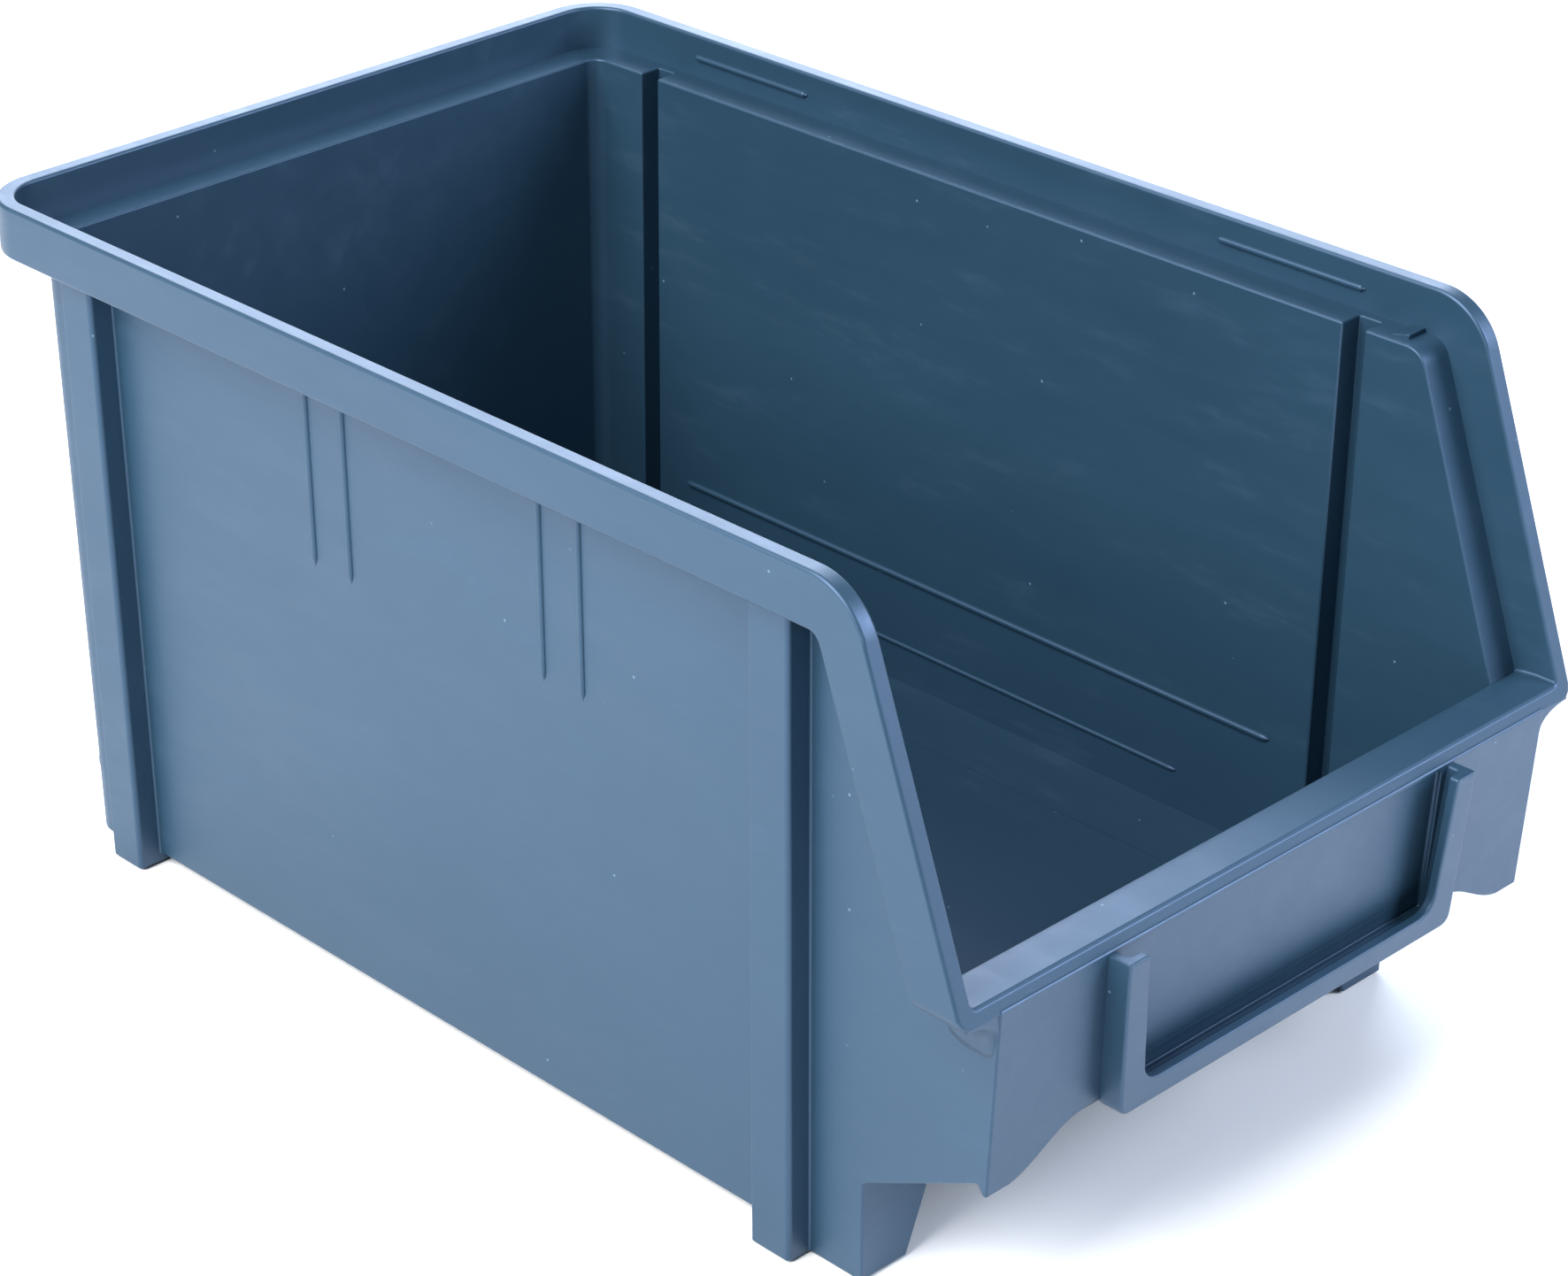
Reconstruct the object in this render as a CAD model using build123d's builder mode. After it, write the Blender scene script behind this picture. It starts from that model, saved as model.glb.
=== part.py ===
# Open-front stacking storage bin, split at its own moulded features.
#
# Frame: millimetres, +Z up, -Y is the open front, the origin is the centre of the footprint on the
# ground. Every wall leans outwards as it rises (mould draft), and all the pieces share one draft.

from build123d import *

import os
from math import cos, radians, sin, tan

os.makedirs("parts", exist_ok=True)

# Overall
BIN_DEPTH = 236.0
BIN_WIDTH = 145.0
BIN_HEIGHT = 124.0

# Collar: the stiff band round the top, which slopes down to the front lip
RIM_THICKNESS = 3.2
RIM_CORNER_RADIUS = 11.0
BAND_HEIGHT = 9.5
LEDGE_DROP = 8.0
SLOPE_ANGLE = radians(20.2)
SLOPE_RADIUS = 12.0

# Tub walls
WALL = 1.9
DRAFT = 0.007
SIDE_SETBACK = 9.5
REAR_SETBACK = 9.3
TUB_CORNER_RADIUS = 4.5
CORNER_STRAIGHT = 1.4
PILLAR_DEPTH = 4.6
REAR_PILLAR_INSET = 20.0
REAR_PILLAR_WIDTH = 8.0
FRONT_PILLAR_INSET = 6.6
FRONT_PILLAR_WIDTH = 8.3
PANEL_FOOT_Z = 2.0

# Floor, feet and the ramp behind the front wall
PLATE = 2.0
FLOOR_TOP_Z = 14.2
FOOT_INSET = 11.2
FOOT_BOTTOM_WIDTH = 9.0
FOOT_TOP_WIDTH = 14.0
NOTCH_Z = 18.5
RAMP_FRONT_Z = 34.6
RAMP_THICKNESS = 2.4
QUARTER_FRONT_Z = 30.2

# Front wall, lip and gussets
LIP_NOSE_Z = 61.0
LIP_FACE = 2.9
FRONT_LEAN = 0.055
ARCH_CORNER_Z = 28.5
ARCH_TOP_Z = 34.6
ARCH_INSET = 8.5
ARCH_CURVE = 10.0
WINDOW_SETBACK = 1.0
WINDOW_MARGIN = 1.0
GUSSET_DROP = 8.0
GUSSET_RADIUS = 12.0

# Label holder
HOLDER_DEPTH = 4.2
HOLDER_FLANGE = 2.0
HOLDER_SIDE = 2.0
HOLDER_BOTTOM_Z = 33.2
HOLDER_SILL_Z = 37.4
HOLDER_ARM_Z = 41.0
HOLDER_TOP_X = 41.3
HOLDER_BOTTOM_X = 40.0
HOLDER_IN_TOP_X = 36.6
HOLDER_IN_BOTTOM_X = 35.0
HOLDER_RADIUS = 3.0
HOLDER_INNER_RADIUS = 0.7

# Raised trim. A rib is placed from the middle of its side panel. A wall bead has its height over
# the floor and its distances from the front and rear ends of the panel.
RIB_OFFSETS = (27.4, 18.2, -28.6, -37.6)
RIB_WIDTH = 1.3
RIB_RAISE = 0.7
RIB_LENGTH = 36.0
BEAD_RADIUS = 0.6
COLLAR_BEAD_DROP = 4.2
COLLAR_BEAD_REAR_INSET = 2.0
COLLAR_BEAD_FRONT_INSET = 13.5
COLLAR_BEAD_REAR_LENGTH = 29.4
COLLAR_BEAD_FRONT_LENGTH = 31.1
UPPER_WALL_BEAD = (21.8, 6.5, 6.0)
LOWER_WALL_BEAD = (7.8, 26.4, 6.0)
STOP_INSET = 1.2
STOP_LENGTH = 3.5
STOP_HEIGHT = 0.8
STOP_MARGIN = 2.0


def slope_y(z, inset=0.0):
    """Y of the sloping front edge at height z, moved into the band by inset."""
    nose_y = HOLDER_DEPTH - BIN_DEPTH / 2
    return nose_y + (z - LIP_NOSE_Z) * tan(SLOPE_ANGLE) + inset / cos(SLOPE_ANGLE)


def front_y(z, depth=0.0):
    """Y of the leaning front wall's outer face at height z, moved inwards by depth."""
    return slope_y(LIP_NOSE_Z) + (LIP_NOSE_Z - z) * FRONT_LEAN + depth


# Levels
BAND_UNDER_Z = BIN_HEIGHT - BAND_HEIGHT
LEDGE_TOP_Z = BIN_HEIGHT - LEDGE_DROP
FLOOR_UNDER_Z = FLOOR_TOP_Z - PLATE
LIP_TOP_Z = LIP_NOSE_Z + LIP_FACE
LIP_UNDER_Z = LIP_TOP_Z - PLATE
GUSSET_FOOT_Z = LIP_NOSE_Z - GUSSET_DROP

# Places across the width
RIM_HALF_WIDTH = BIN_WIDTH / 2
COLLAR_IN_X = RIM_HALF_WIDTH - RIM_THICKNESS
PANEL_IN = RIM_HALF_WIDTH - SIDE_SETBACK
PILLAR_IN = PANEL_IN + PILLAR_DEPTH
CORNER_SPLIT_X = PANEL_IN + WALL - TUB_CORNER_RADIUS - CORNER_STRAIGHT
FOOT_IN_BOTTOM_X = PANEL_IN - FOOT_BOTTOM_WIDTH
FOOT_IN_TOP_X = PANEL_IN - FOOT_TOP_WIDTH
ARCH_FOOT_X = PANEL_IN - ARCH_INSET
ARCH_CROWN_X = ARCH_FOOT_X - ARCH_CURVE
WINDOW_HALF_X = HOLDER_IN_BOTTOM_X - WINDOW_MARGIN

# Places along the depth
RIM_REAR_Y = BIN_DEPTH / 2
COLLAR_IN_Y = RIM_REAR_Y - RIM_THICKNESS
REAR_IN_Y = RIM_REAR_Y - REAR_SETBACK
REAR_OUT_Y = REAR_IN_Y + WALL
REAR_PILLAR_Y = (RIM_REAR_Y - REAR_PILLAR_INSET - REAR_PILLAR_WIDTH, RIM_REAR_Y - REAR_PILLAR_INSET)
BEND_Y = slope_y(BIN_HEIGHT) + SLOPE_RADIUS * tan((radians(90) - SLOPE_ANGLE) / 2)
BEND_Z = BIN_HEIGHT - SLOPE_RADIUS
FRONT_PILLAR_Y = (BEND_Y + FRONT_PILLAR_INSET, BEND_Y + FRONT_PILLAR_INSET + FRONT_PILLAR_WIDTH)
FOOT_FRONT_Y = FRONT_PILLAR_Y[0] - FOOT_INSET
FLOOR_FRONT_Y = FOOT_FRONT_Y + PLATE
FRONT_LIMIT_Y = -BIN_DEPTH
CORNER_CENTRE = (RIM_HALF_WIDTH - RIM_CORNER_RADIUS, RIM_REAR_Y - RIM_CORNER_RADIUS)
COLLAR_IN_RADIUS = RIM_CORNER_RADIUS - RIM_THICKNESS


def draft(z):
    """How far a wall at height z stands inside its place at the ledge."""
    return DRAFT * (LEDGE_TOP_Z - z)


def ramp_z(y):
    """Height of the ramp's underside at depth y."""
    run = FOOT_FRONT_Y - front_y(RAMP_FRONT_Z, PLATE)
    return NOTCH_Z + (FOOT_FRONT_Y - y) * (RAMP_FRONT_Z - NOTCH_Z) / run


def wall_profile(x_in, x_out, z_low, z_high):
    """Drafted wall section in X and Z."""
    return [
        (x_in - draft(z_low), z_low),
        (x_out - draft(z_low), z_low),
        (x_out - draft(z_high), z_high),
        (x_in - draft(z_high), z_high),
    ]


def xz_prism(points, y_low, y_high, mode=Mode.ADD):
    """Prism with an XZ outline, from y_low to y_high."""
    with BuildSketch(Plane.XZ.offset(-y_high)) as outline:
        with BuildLine():
            Polyline(*points, close=True)
        make_face()
    extrude(outline.sketch, amount=y_high - y_low, mode=mode)


def yz_prism(points, x_low, x_high, mode=Mode.ADD):
    """Prism with a YZ outline, from x_low to x_high."""
    with BuildSketch(Plane.YZ.offset(x_low)) as outline:
        with BuildLine():
            Polyline(*points, close=True)
        make_face()
    extrude(outline.sketch, amount=x_high - x_low, mode=mode)


def save(builder, name):
    """Name a piece and write it."""
    builder.part.label = name
    export_step(builder.part, f"parts/{name}.step")


def save_pair(builder, name):
    """Write a right-hand piece and its mirror image."""
    with BuildPart() as twin:
        add(builder.part)
        mirror(about=Plane.YZ, mode=Mode.REPLACE)
    save(builder, f"{name}_right")
    save(twin, f"{name}_left")


def slope_strip(x_low, x_high, inset_low, inset_high, z_end):
    """Straight sloping part of the band, between two insets from its front edge."""
    tangent_low = BEND_Z + (SLOPE_RADIUS - inset_low) * sin(SLOPE_ANGLE)
    tangent_high = BEND_Z + (SLOPE_RADIUS - inset_high) * sin(SLOPE_ANGLE)
    yz_prism(
        [
            (slope_y(tangent_low, inset_low), tangent_low),
            (slope_y(z_end, inset_low), z_end),
            (slope_y(z_end, inset_high), z_end),
            (slope_y(tangent_high, inset_high), tangent_high),
        ],
        x_low,
        x_high,
    )


def bend_strip(x_low, x_high, inset_low, inset_high):
    """Rounded top corner of the band, between two insets from its front edge."""
    with BuildSketch(Plane.YZ.offset(x_low)) as outline:
        with Locations((BEND_Y, BEND_Z)):
            Circle(SLOPE_RADIUS - inset_low)
            Circle(SLOPE_RADIUS - inset_high, mode=Mode.SUBTRACT)
        reach = SLOPE_RADIUS * 2
        with BuildLine():
            Polyline(
                (BEND_Y, BEND_Z),
                (BEND_Y, BEND_Z + reach),
                (BEND_Y - reach, BEND_Z + reach),
                (BEND_Y - reach * cos(SLOPE_ANGLE), BEND_Z + reach * sin(SLOPE_ANGLE)),
                close=True,
            )
        make_face(mode=Mode.INTERSECT)
    extrude(outline.sketch, amount=x_high - x_low)


# Rear wall and its rounded corners
with BuildPart() as rear_wall:
    yz_prism(
        [
            (REAR_IN_Y - draft(0), 0),
            (REAR_OUT_Y - draft(0), 0),
            (REAR_OUT_Y - draft(BAND_UNDER_Z), BAND_UNDER_Z),
            (REAR_IN_Y - draft(BAND_UNDER_Z), BAND_UNDER_Z),
        ],
        -CORNER_SPLIT_X,
        CORNER_SPLIT_X,
    )
save(rear_wall, "rear_wall")

with BuildPart() as rear_corner:
    for z in (0, BAND_UNDER_Z):
        with BuildSketch(Plane.XY.offset(z)):
            out_x = PANEL_IN + WALL - draft(z)
            out_y = REAR_OUT_Y - draft(z)
            with BuildLine():
                Line((CORNER_SPLIT_X, out_y), (out_x - TUB_CORNER_RADIUS, out_y))
                RadiusArc(
                    (out_x - TUB_CORNER_RADIUS, out_y),
                    (out_x, out_y - TUB_CORNER_RADIUS),
                    TUB_CORNER_RADIUS,
                )
                Polyline(
                    (out_x, out_y - TUB_CORNER_RADIUS),
                    (out_x, REAR_PILLAR_Y[1]),
                    (out_x - WALL, REAR_PILLAR_Y[1]),
                    (out_x - WALL, out_y - WALL),
                    (CORNER_SPLIT_X, out_y - WALL),
                    (CORNER_SPLIT_X, out_y),
                )
            make_face()
    loft(ruled=True)
save_pair(rear_corner, "rear_corner")

# Hollow corner pillars, open to the inside of the bin
for name, (y_front, y_rear) in (("rear_pillar", REAR_PILLAR_Y), ("front_pillar", FRONT_PILLAR_Y)):
    with BuildPart() as pillar:
        xz_prism(wall_profile(PANEL_IN, PILLAR_IN + WALL, 0, BAND_UNDER_Z), y_front, y_rear)
        xz_prism(
            wall_profile(PANEL_IN, PILLAR_IN, 0, BAND_UNDER_Z),
            y_front + WALL,
            y_rear - WALL,
            Mode.SUBTRACT,
        )
    save_pair(pillar, name)

# Long side panels between the pillars
with BuildPart() as side_panel:
    xz_prism(
        wall_profile(PANEL_IN, PANEL_IN + WALL, PANEL_FOOT_Z, BAND_UNDER_Z),
        FRONT_PILLAR_Y[1],
        REAR_PILLAR_Y[0],
    )
save_pair(side_panel, "side_panel")

# Front quarter panels, cut by the slope above and the nose below
under_tangent_z = BEND_Z + (SLOPE_RADIUS - BAND_HEIGHT) * sin(SLOPE_ANGLE)
with BuildPart() as front_quarter:
    yz_prism(
        [
            (FRONT_PILLAR_Y[0], 0),
            (FRONT_PILLAR_Y[0], BAND_UNDER_Z),
            (BEND_Y, BAND_UNDER_Z),
            (slope_y(under_tangent_z, BAND_HEIGHT), under_tangent_z),
            (slope_y(LIP_UNDER_Z, BAND_HEIGHT), LIP_UNDER_Z),
            (front_y(LIP_UNDER_Z, PLATE), LIP_UNDER_Z),
            (front_y(QUARTER_FRONT_Z, PLATE), QUARTER_FRONT_Z),
            (FOOT_FRONT_Y, NOTCH_Z),
            (FOOT_FRONT_Y, 0),
        ],
        PANEL_IN - PILLAR_DEPTH,
        PANEL_IN + PILLAR_DEPTH,
    )
    xz_prism(
        wall_profile(PANEL_IN, PANEL_IN + WALL, 0, BIN_HEIGHT),
        FRONT_LIMIT_Y,
        FRONT_PILLAR_Y[0],
        Mode.INTERSECT,
    )
save_pair(front_quarter, "front_quarter")

# Floor, with tabs that close the bottom of the hollow pillars
with BuildPart() as floor_pan:
    half_floor = wall_profile(0, PANEL_IN, FLOOR_UNDER_Z, FLOOR_TOP_Z)
    floor_outline = [half_floor[1], half_floor[2]]
    floor_outline += [(-x, z) for x, z in reversed(floor_outline)]
    xz_prism(floor_outline, FLOOR_FRONT_Y, REAR_IN_Y)
    for y_front, y_rear in (REAR_PILLAR_Y, FRONT_PILLAR_Y):
        tab = wall_profile(PANEL_IN, PILLAR_IN, FLOOR_UNDER_Z, FLOOR_TOP_Z)
        xz_prism(tab, y_front + WALL, y_rear - WALL)
        xz_prism([(-x, z) for x, z in tab], y_front + WALL, y_rear - WALL)
    yz_prism(
        [
            (FLOOR_FRONT_Y, FLOOR_UNDER_Z),
            (REAR_IN_Y - draft(FLOOR_UNDER_Z), FLOOR_UNDER_Z),
            (REAR_IN_Y - draft(FLOOR_TOP_Z), FLOOR_TOP_Z),
            (FLOOR_FRONT_Y, FLOOR_TOP_Z),
        ],
        -RIM_HALF_WIDTH,
        RIM_HALF_WIDTH,
        Mode.INTERSECT,
    )
save(floor_pan, "floor_pan")

# Webs under the floor and the plates that close the feet at the front
with BuildPart() as skirt_web:
    xz_prism(
        [
            (FOOT_IN_BOTTOM_X, 0),
            (FOOT_IN_BOTTOM_X + PLATE, 0),
            (FOOT_IN_TOP_X + PLATE, FLOOR_UNDER_Z),
            (FOOT_IN_TOP_X, FLOOR_UNDER_Z),
        ],
        FLOOR_FRONT_Y,
        REAR_IN_Y,
    )
    yz_prism(
        [
            (FLOOR_FRONT_Y, 0),
            (REAR_IN_Y - draft(0), 0),
            (REAR_IN_Y - draft(FLOOR_UNDER_Z), FLOOR_UNDER_Z),
            (FLOOR_FRONT_Y, FLOOR_UNDER_Z),
        ],
        0,
        RIM_HALF_WIDTH,
        Mode.INTERSECT,
    )
save_pair(skirt_web, "skirt_web")

with BuildPart() as front_foot:
    xz_prism(
        [
            (FOOT_IN_BOTTOM_X, 0),
            (PANEL_IN - draft(0), 0),
            (PANEL_IN - draft(FLOOR_UNDER_Z), FLOOR_UNDER_Z),
            (FOOT_IN_TOP_X, FLOOR_UNDER_Z),
        ],
        FOOT_FRONT_Y,
        FLOOR_FRONT_Y,
    )
save_pair(front_foot, "front_foot")

# Riser and ramp from the floor up to the front wall
inner_width = wall_profile(0, PANEL_IN, 0, LIP_TOP_Z)[1:3]
inner_width += [(-x, z) for x, z in reversed(inner_width)]
with BuildPart() as front_riser:
    yz_prism(
        [
            (FOOT_FRONT_Y, FLOOR_UNDER_Z),
            (FLOOR_FRONT_Y, FLOOR_UNDER_Z),
            (FLOOR_FRONT_Y, ramp_z(FLOOR_FRONT_Y)),
            (FOOT_FRONT_Y, ramp_z(FOOT_FRONT_Y)),
        ],
        -PANEL_IN,
        PANEL_IN,
    )
    xz_prism(inner_width, FOOT_FRONT_Y, FLOOR_FRONT_Y, Mode.INTERSECT)
save(front_riser, "front_riser")

with BuildPart() as front_ramp:
    ramp_top_z = RAMP_FRONT_Z + RAMP_THICKNESS
    yz_prism(
        [
            (FLOOR_FRONT_Y, ramp_z(FLOOR_FRONT_Y)),
            (FLOOR_FRONT_Y, ramp_z(FLOOR_FRONT_Y) + RAMP_THICKNESS),
            (front_y(ramp_top_z, PLATE), ramp_top_z),
            (front_y(RAMP_FRONT_Z, PLATE), RAMP_FRONT_Z),
        ],
        -PANEL_IN,
        PANEL_IN,
    )
    xz_prism(inner_width, FRONT_LIMIT_Y, FLOOR_FRONT_Y, Mode.INTERSECT)
save(front_ramp, "front_ramp")

# Front wall: leaning plate with an arched lower edge and a set-back label window
with BuildPart() as front_wall:
    yz_prism(
        [
            (front_y(LIP_NOSE_Z), LIP_NOSE_Z),
            (front_y(LIP_NOSE_Z, PLATE), LIP_NOSE_Z),
            (front_y(0, PLATE), 0),
            (front_y(0), 0),
        ],
        -RIM_HALF_WIDTH,
        RIM_HALF_WIDTH,
    )
    wall_top_x = PANEL_IN + WALL - draft(LIP_NOSE_Z)
    wall_low_x = PANEL_IN + WALL - draft(ARCH_CORNER_Z)
    with BuildSketch(Plane.XZ) as arch:
        with BuildLine():
            Polyline(
                (-ARCH_FOOT_X, ARCH_CORNER_Z),
                (-wall_low_x, ARCH_CORNER_Z),
                (-wall_top_x, LIP_NOSE_Z),
                (wall_top_x, LIP_NOSE_Z),
                (wall_low_x, ARCH_CORNER_Z),
                (ARCH_FOOT_X, ARCH_CORNER_Z),
            )
            Spline(
                (ARCH_FOOT_X, ARCH_CORNER_Z),
                (ARCH_CROWN_X, ARCH_TOP_Z),
                tangents=((-1, 0), (-1, 0)),
            )
            Line((ARCH_CROWN_X, ARCH_TOP_Z), (-ARCH_CROWN_X, ARCH_TOP_Z))
            Spline(
                (-ARCH_CROWN_X, ARCH_TOP_Z),
                (-ARCH_FOOT_X, ARCH_CORNER_Z),
                tangents=((-1, 0), (-1, 0)),
            )
        make_face()
    extrude(arch.sketch, amount=BIN_DEPTH, mode=Mode.INTERSECT)
    window_low = HOLDER_SILL_Z + WINDOW_MARGIN
    window_high = LIP_NOSE_Z - WINDOW_MARGIN
    yz_prism(
        [
            (front_y(window_low, PLATE), window_low),
            (front_y(window_high, PLATE), window_high),
            (front_y(window_high, PLATE + WINDOW_SETBACK), window_high),
            (front_y(window_low, PLATE + WINDOW_SETBACK), window_low),
        ],
        -WINDOW_HALF_X,
        WINDOW_HALF_X,
    )
    yz_prism(
        [
            (front_y(window_low), window_low),
            (front_y(window_high), window_high),
            (front_y(window_high, WINDOW_SETBACK), window_high),
            (front_y(window_low, WINDOW_SETBACK), window_low),
        ],
        -WINDOW_HALF_X,
        WINDOW_HALF_X,
        Mode.SUBTRACT,
    )
save(front_wall, "front_wall")

# Lip along the top of the front wall, and the gussets under its two ends
with BuildPart() as front_lip:
    yz_prism(
        [
            (slope_y(LIP_TOP_Z, LEDGE_DROP), LIP_TOP_Z),
            (slope_y(LIP_TOP_Z), LIP_TOP_Z),
            (slope_y(LIP_NOSE_Z), LIP_NOSE_Z),
            (front_y(LIP_NOSE_Z, PLATE), LIP_NOSE_Z),
            (front_y(LIP_UNDER_Z, PLATE), LIP_UNDER_Z),
            (slope_y(LIP_UNDER_Z, LEDGE_DROP), LIP_UNDER_Z),
        ],
        -COLLAR_IN_X,
        COLLAR_IN_X,
    )
save(front_lip, "front_lip")

with BuildPart() as gusset:
    root_x = PANEL_IN + WALL - draft(LIP_NOSE_Z)
    foot_x = PANEL_IN + WALL - draft(GUSSET_FOOT_Z)
    with BuildSketch(Plane.XZ.offset(-slope_y(LIP_NOSE_Z, BAND_HEIGHT))) as web:
        with BuildLine():
            Polyline((foot_x, GUSSET_FOOT_Z), (root_x, LIP_NOSE_Z), (RIM_HALF_WIDTH, LIP_NOSE_Z))
            RadiusArc(
                (RIM_HALF_WIDTH, LIP_NOSE_Z),
                (foot_x, GUSSET_FOOT_Z),
                -GUSSET_RADIUS,
            )
        make_face()
    extrude(web.sketch, amount=slope_y(LIP_NOSE_Z, BAND_HEIGHT) - slope_y(LIP_NOSE_Z))
save_pair(gusset, "lip_gusset")

# Collar: rear run, rounded corners, side runs, bends and sloping ends
with BuildPart() as collar_rear:
    with BuildSketch(Plane.XY.offset(BAND_UNDER_Z)):
        with Locations((0, RIM_REAR_Y - RIM_THICKNESS / 2)):
            Rectangle(2 * CORNER_CENTRE[0], RIM_THICKNESS)
    extrude(amount=BAND_HEIGHT)
save(collar_rear, "collar_rear")

with BuildPart() as collar_corner:
    with BuildSketch(Plane.XY.offset(BAND_UNDER_Z)):
        with Locations(CORNER_CENTRE):
            Circle(RIM_CORNER_RADIUS)
            Circle(COLLAR_IN_RADIUS, mode=Mode.SUBTRACT)
            Rectangle(
                RIM_CORNER_RADIUS,
                RIM_CORNER_RADIUS,
                align=(Align.MIN, Align.MIN),
                mode=Mode.INTERSECT,
            )
    extrude(amount=BAND_HEIGHT)
save_pair(collar_corner, "collar_corner")

with BuildPart() as collar_side:
    with BuildSketch(Plane.XY.offset(BAND_UNDER_Z)):
        with Locations((COLLAR_IN_X, BEND_Y)):
            Rectangle(RIM_THICKNESS, CORNER_CENTRE[1] - BEND_Y, align=(Align.MIN, Align.MIN))
    extrude(amount=BAND_HEIGHT)
save_pair(collar_side, "collar_side")

with BuildPart() as collar_bend:
    bend_strip(COLLAR_IN_X, RIM_HALF_WIDTH, 0, BAND_HEIGHT)
save_pair(collar_bend, "collar_bend")

with BuildPart() as collar_slope:
    slope_strip(COLLAR_IN_X, RIM_HALF_WIDTH, 0, BAND_HEIGHT, LIP_NOSE_Z)
save_pair(collar_slope, "collar_slope")

# Stacking ledge: the step between the tub's inner face and the collar
with BuildPart() as ledge_rear:
    yz_prism(
        [
            (REAR_IN_Y - draft(BAND_UNDER_Z), BAND_UNDER_Z),
            (COLLAR_IN_Y, BAND_UNDER_Z),
            (COLLAR_IN_Y, LEDGE_TOP_Z),
            (REAR_IN_Y, LEDGE_TOP_Z),
        ],
        -CORNER_SPLIT_X,
        CORNER_SPLIT_X,
    )
save(ledge_rear, "ledge_rear")

with BuildPart() as ledge_corner:
    with BuildSketch(Plane.XY.offset(BAND_UNDER_Z)):
        with BuildLine():
            Line((CORNER_SPLIT_X, COLLAR_IN_Y), (CORNER_CENTRE[0], COLLAR_IN_Y))
            RadiusArc(
                (CORNER_CENTRE[0], COLLAR_IN_Y),
                (COLLAR_IN_X, CORNER_CENTRE[1]),
                COLLAR_IN_RADIUS,
            )
            Polyline(
                (COLLAR_IN_X, CORNER_CENTRE[1]),
                (COLLAR_IN_X, REAR_PILLAR_Y[1]),
                (PANEL_IN, REAR_PILLAR_Y[1]),
                (PANEL_IN, REAR_IN_Y),
                (CORNER_SPLIT_X, REAR_IN_Y),
                (CORNER_SPLIT_X, COLLAR_IN_Y),
            )
        make_face()
    extrude(amount=LEDGE_TOP_Z - BAND_UNDER_Z)
save_pair(ledge_corner, "ledge_corner")

with BuildPart() as ledge_side:
    with BuildSketch(Plane.XY.offset(BAND_UNDER_Z)):
        with Locations((PANEL_IN, BEND_Y)):
            Rectangle(
                COLLAR_IN_X - PANEL_IN,
                REAR_PILLAR_Y[1] - BEND_Y,
                align=(Align.MIN, Align.MIN),
            )
        for y_front, y_rear in (REAR_PILLAR_Y, FRONT_PILLAR_Y):
            with Locations((PANEL_IN, y_front + WALL)):
                Rectangle(
                    PILLAR_IN - PANEL_IN,
                    y_rear - y_front - 2 * WALL,
                    align=(Align.MIN, Align.MIN),
                    mode=Mode.SUBTRACT,
                )
    extrude(amount=LEDGE_TOP_Z - BAND_UNDER_Z)
save_pair(ledge_side, "ledge_side")

with BuildPart() as ledge_slope:
    bend_strip(PANEL_IN, COLLAR_IN_X, LEDGE_DROP, BAND_HEIGHT)
    slope_strip(PANEL_IN, COLLAR_IN_X, LEDGE_DROP, BAND_HEIGHT, LIP_UNDER_Z)
save_pair(ledge_slope, "ledge_slope")

with BuildPart() as ledge_stop:
    yz_prism(
        [
            (BEND_Y + STOP_INSET + STOP_LENGTH, LEDGE_TOP_Z),
            (BEND_Y + STOP_INSET, LEDGE_TOP_Z),
            (BEND_Y + STOP_INSET, LEDGE_TOP_Z + STOP_HEIGHT),
        ],
        PANEL_IN + STOP_MARGIN,
        COLLAR_IN_X,
    )
save_pair(ledge_stop, "ledge_stop")

# Label holder: two arms and a sill standing off the front wall, with a card slot behind the flange
def holder_x(z):
    """Half width of the holder's outer sides at height z."""
    share = (z - HOLDER_BOTTOM_Z) / (LIP_NOSE_Z - HOLDER_BOTTOM_Z)
    return HOLDER_BOTTOM_X + share * (HOLDER_TOP_X - HOLDER_BOTTOM_X)


def holder_slab(depth, z_low, z_high):
    """Keep what lies between two depths in front of the leaning wall."""
    near, far = depth
    yz_prism(
        [
            (front_y(z_low, -near), z_low),
            (front_y(z_low, -far), z_low),
            (front_y(z_high, -far), z_high),
            (front_y(z_high, -near), z_high),
        ],
        -RIM_HALF_WIDTH,
        RIM_HALF_WIDTH,
        Mode.INTERSECT,
    )


def sill_outline(half_in, z_in, radius):
    """U-shaped outline of the sill, with rounded corners."""
    with BuildSketch(Plane.XZ) as outline:
        with BuildLine():
            Polyline(
                (-HOLDER_BOTTOM_X, HOLDER_BOTTOM_Z),
                (HOLDER_BOTTOM_X, HOLDER_BOTTOM_Z),
                (holder_x(HOLDER_ARM_Z), HOLDER_ARM_Z),
                (half_in, HOLDER_ARM_Z),
                (half_in, z_in),
                (-half_in, z_in),
                (-half_in, HOLDER_ARM_Z),
                (-holder_x(HOLDER_ARM_Z), HOLDER_ARM_Z),
                close=True,
            )
        make_face()
        fillet(outline.vertices().group_by(Axis.Y)[1], radius)
    extrude(outline.sketch, amount=BIN_DEPTH)


flange_depth = (HOLDER_DEPTH - HOLDER_FLANGE, HOLDER_DEPTH)
side_depth = (0, HOLDER_DEPTH - HOLDER_FLANGE)

with BuildPart() as arm_side:
    xz_prism(
        [
            (holder_x(HOLDER_ARM_Z) - HOLDER_SIDE, HOLDER_ARM_Z),
            (holder_x(HOLDER_ARM_Z), HOLDER_ARM_Z),
            (HOLDER_TOP_X, LIP_NOSE_Z),
            (HOLDER_TOP_X - HOLDER_SIDE, LIP_NOSE_Z),
        ],
        FRONT_LIMIT_Y,
        0,
    )
    holder_slab(side_depth, HOLDER_ARM_Z, LIP_NOSE_Z)

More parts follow.
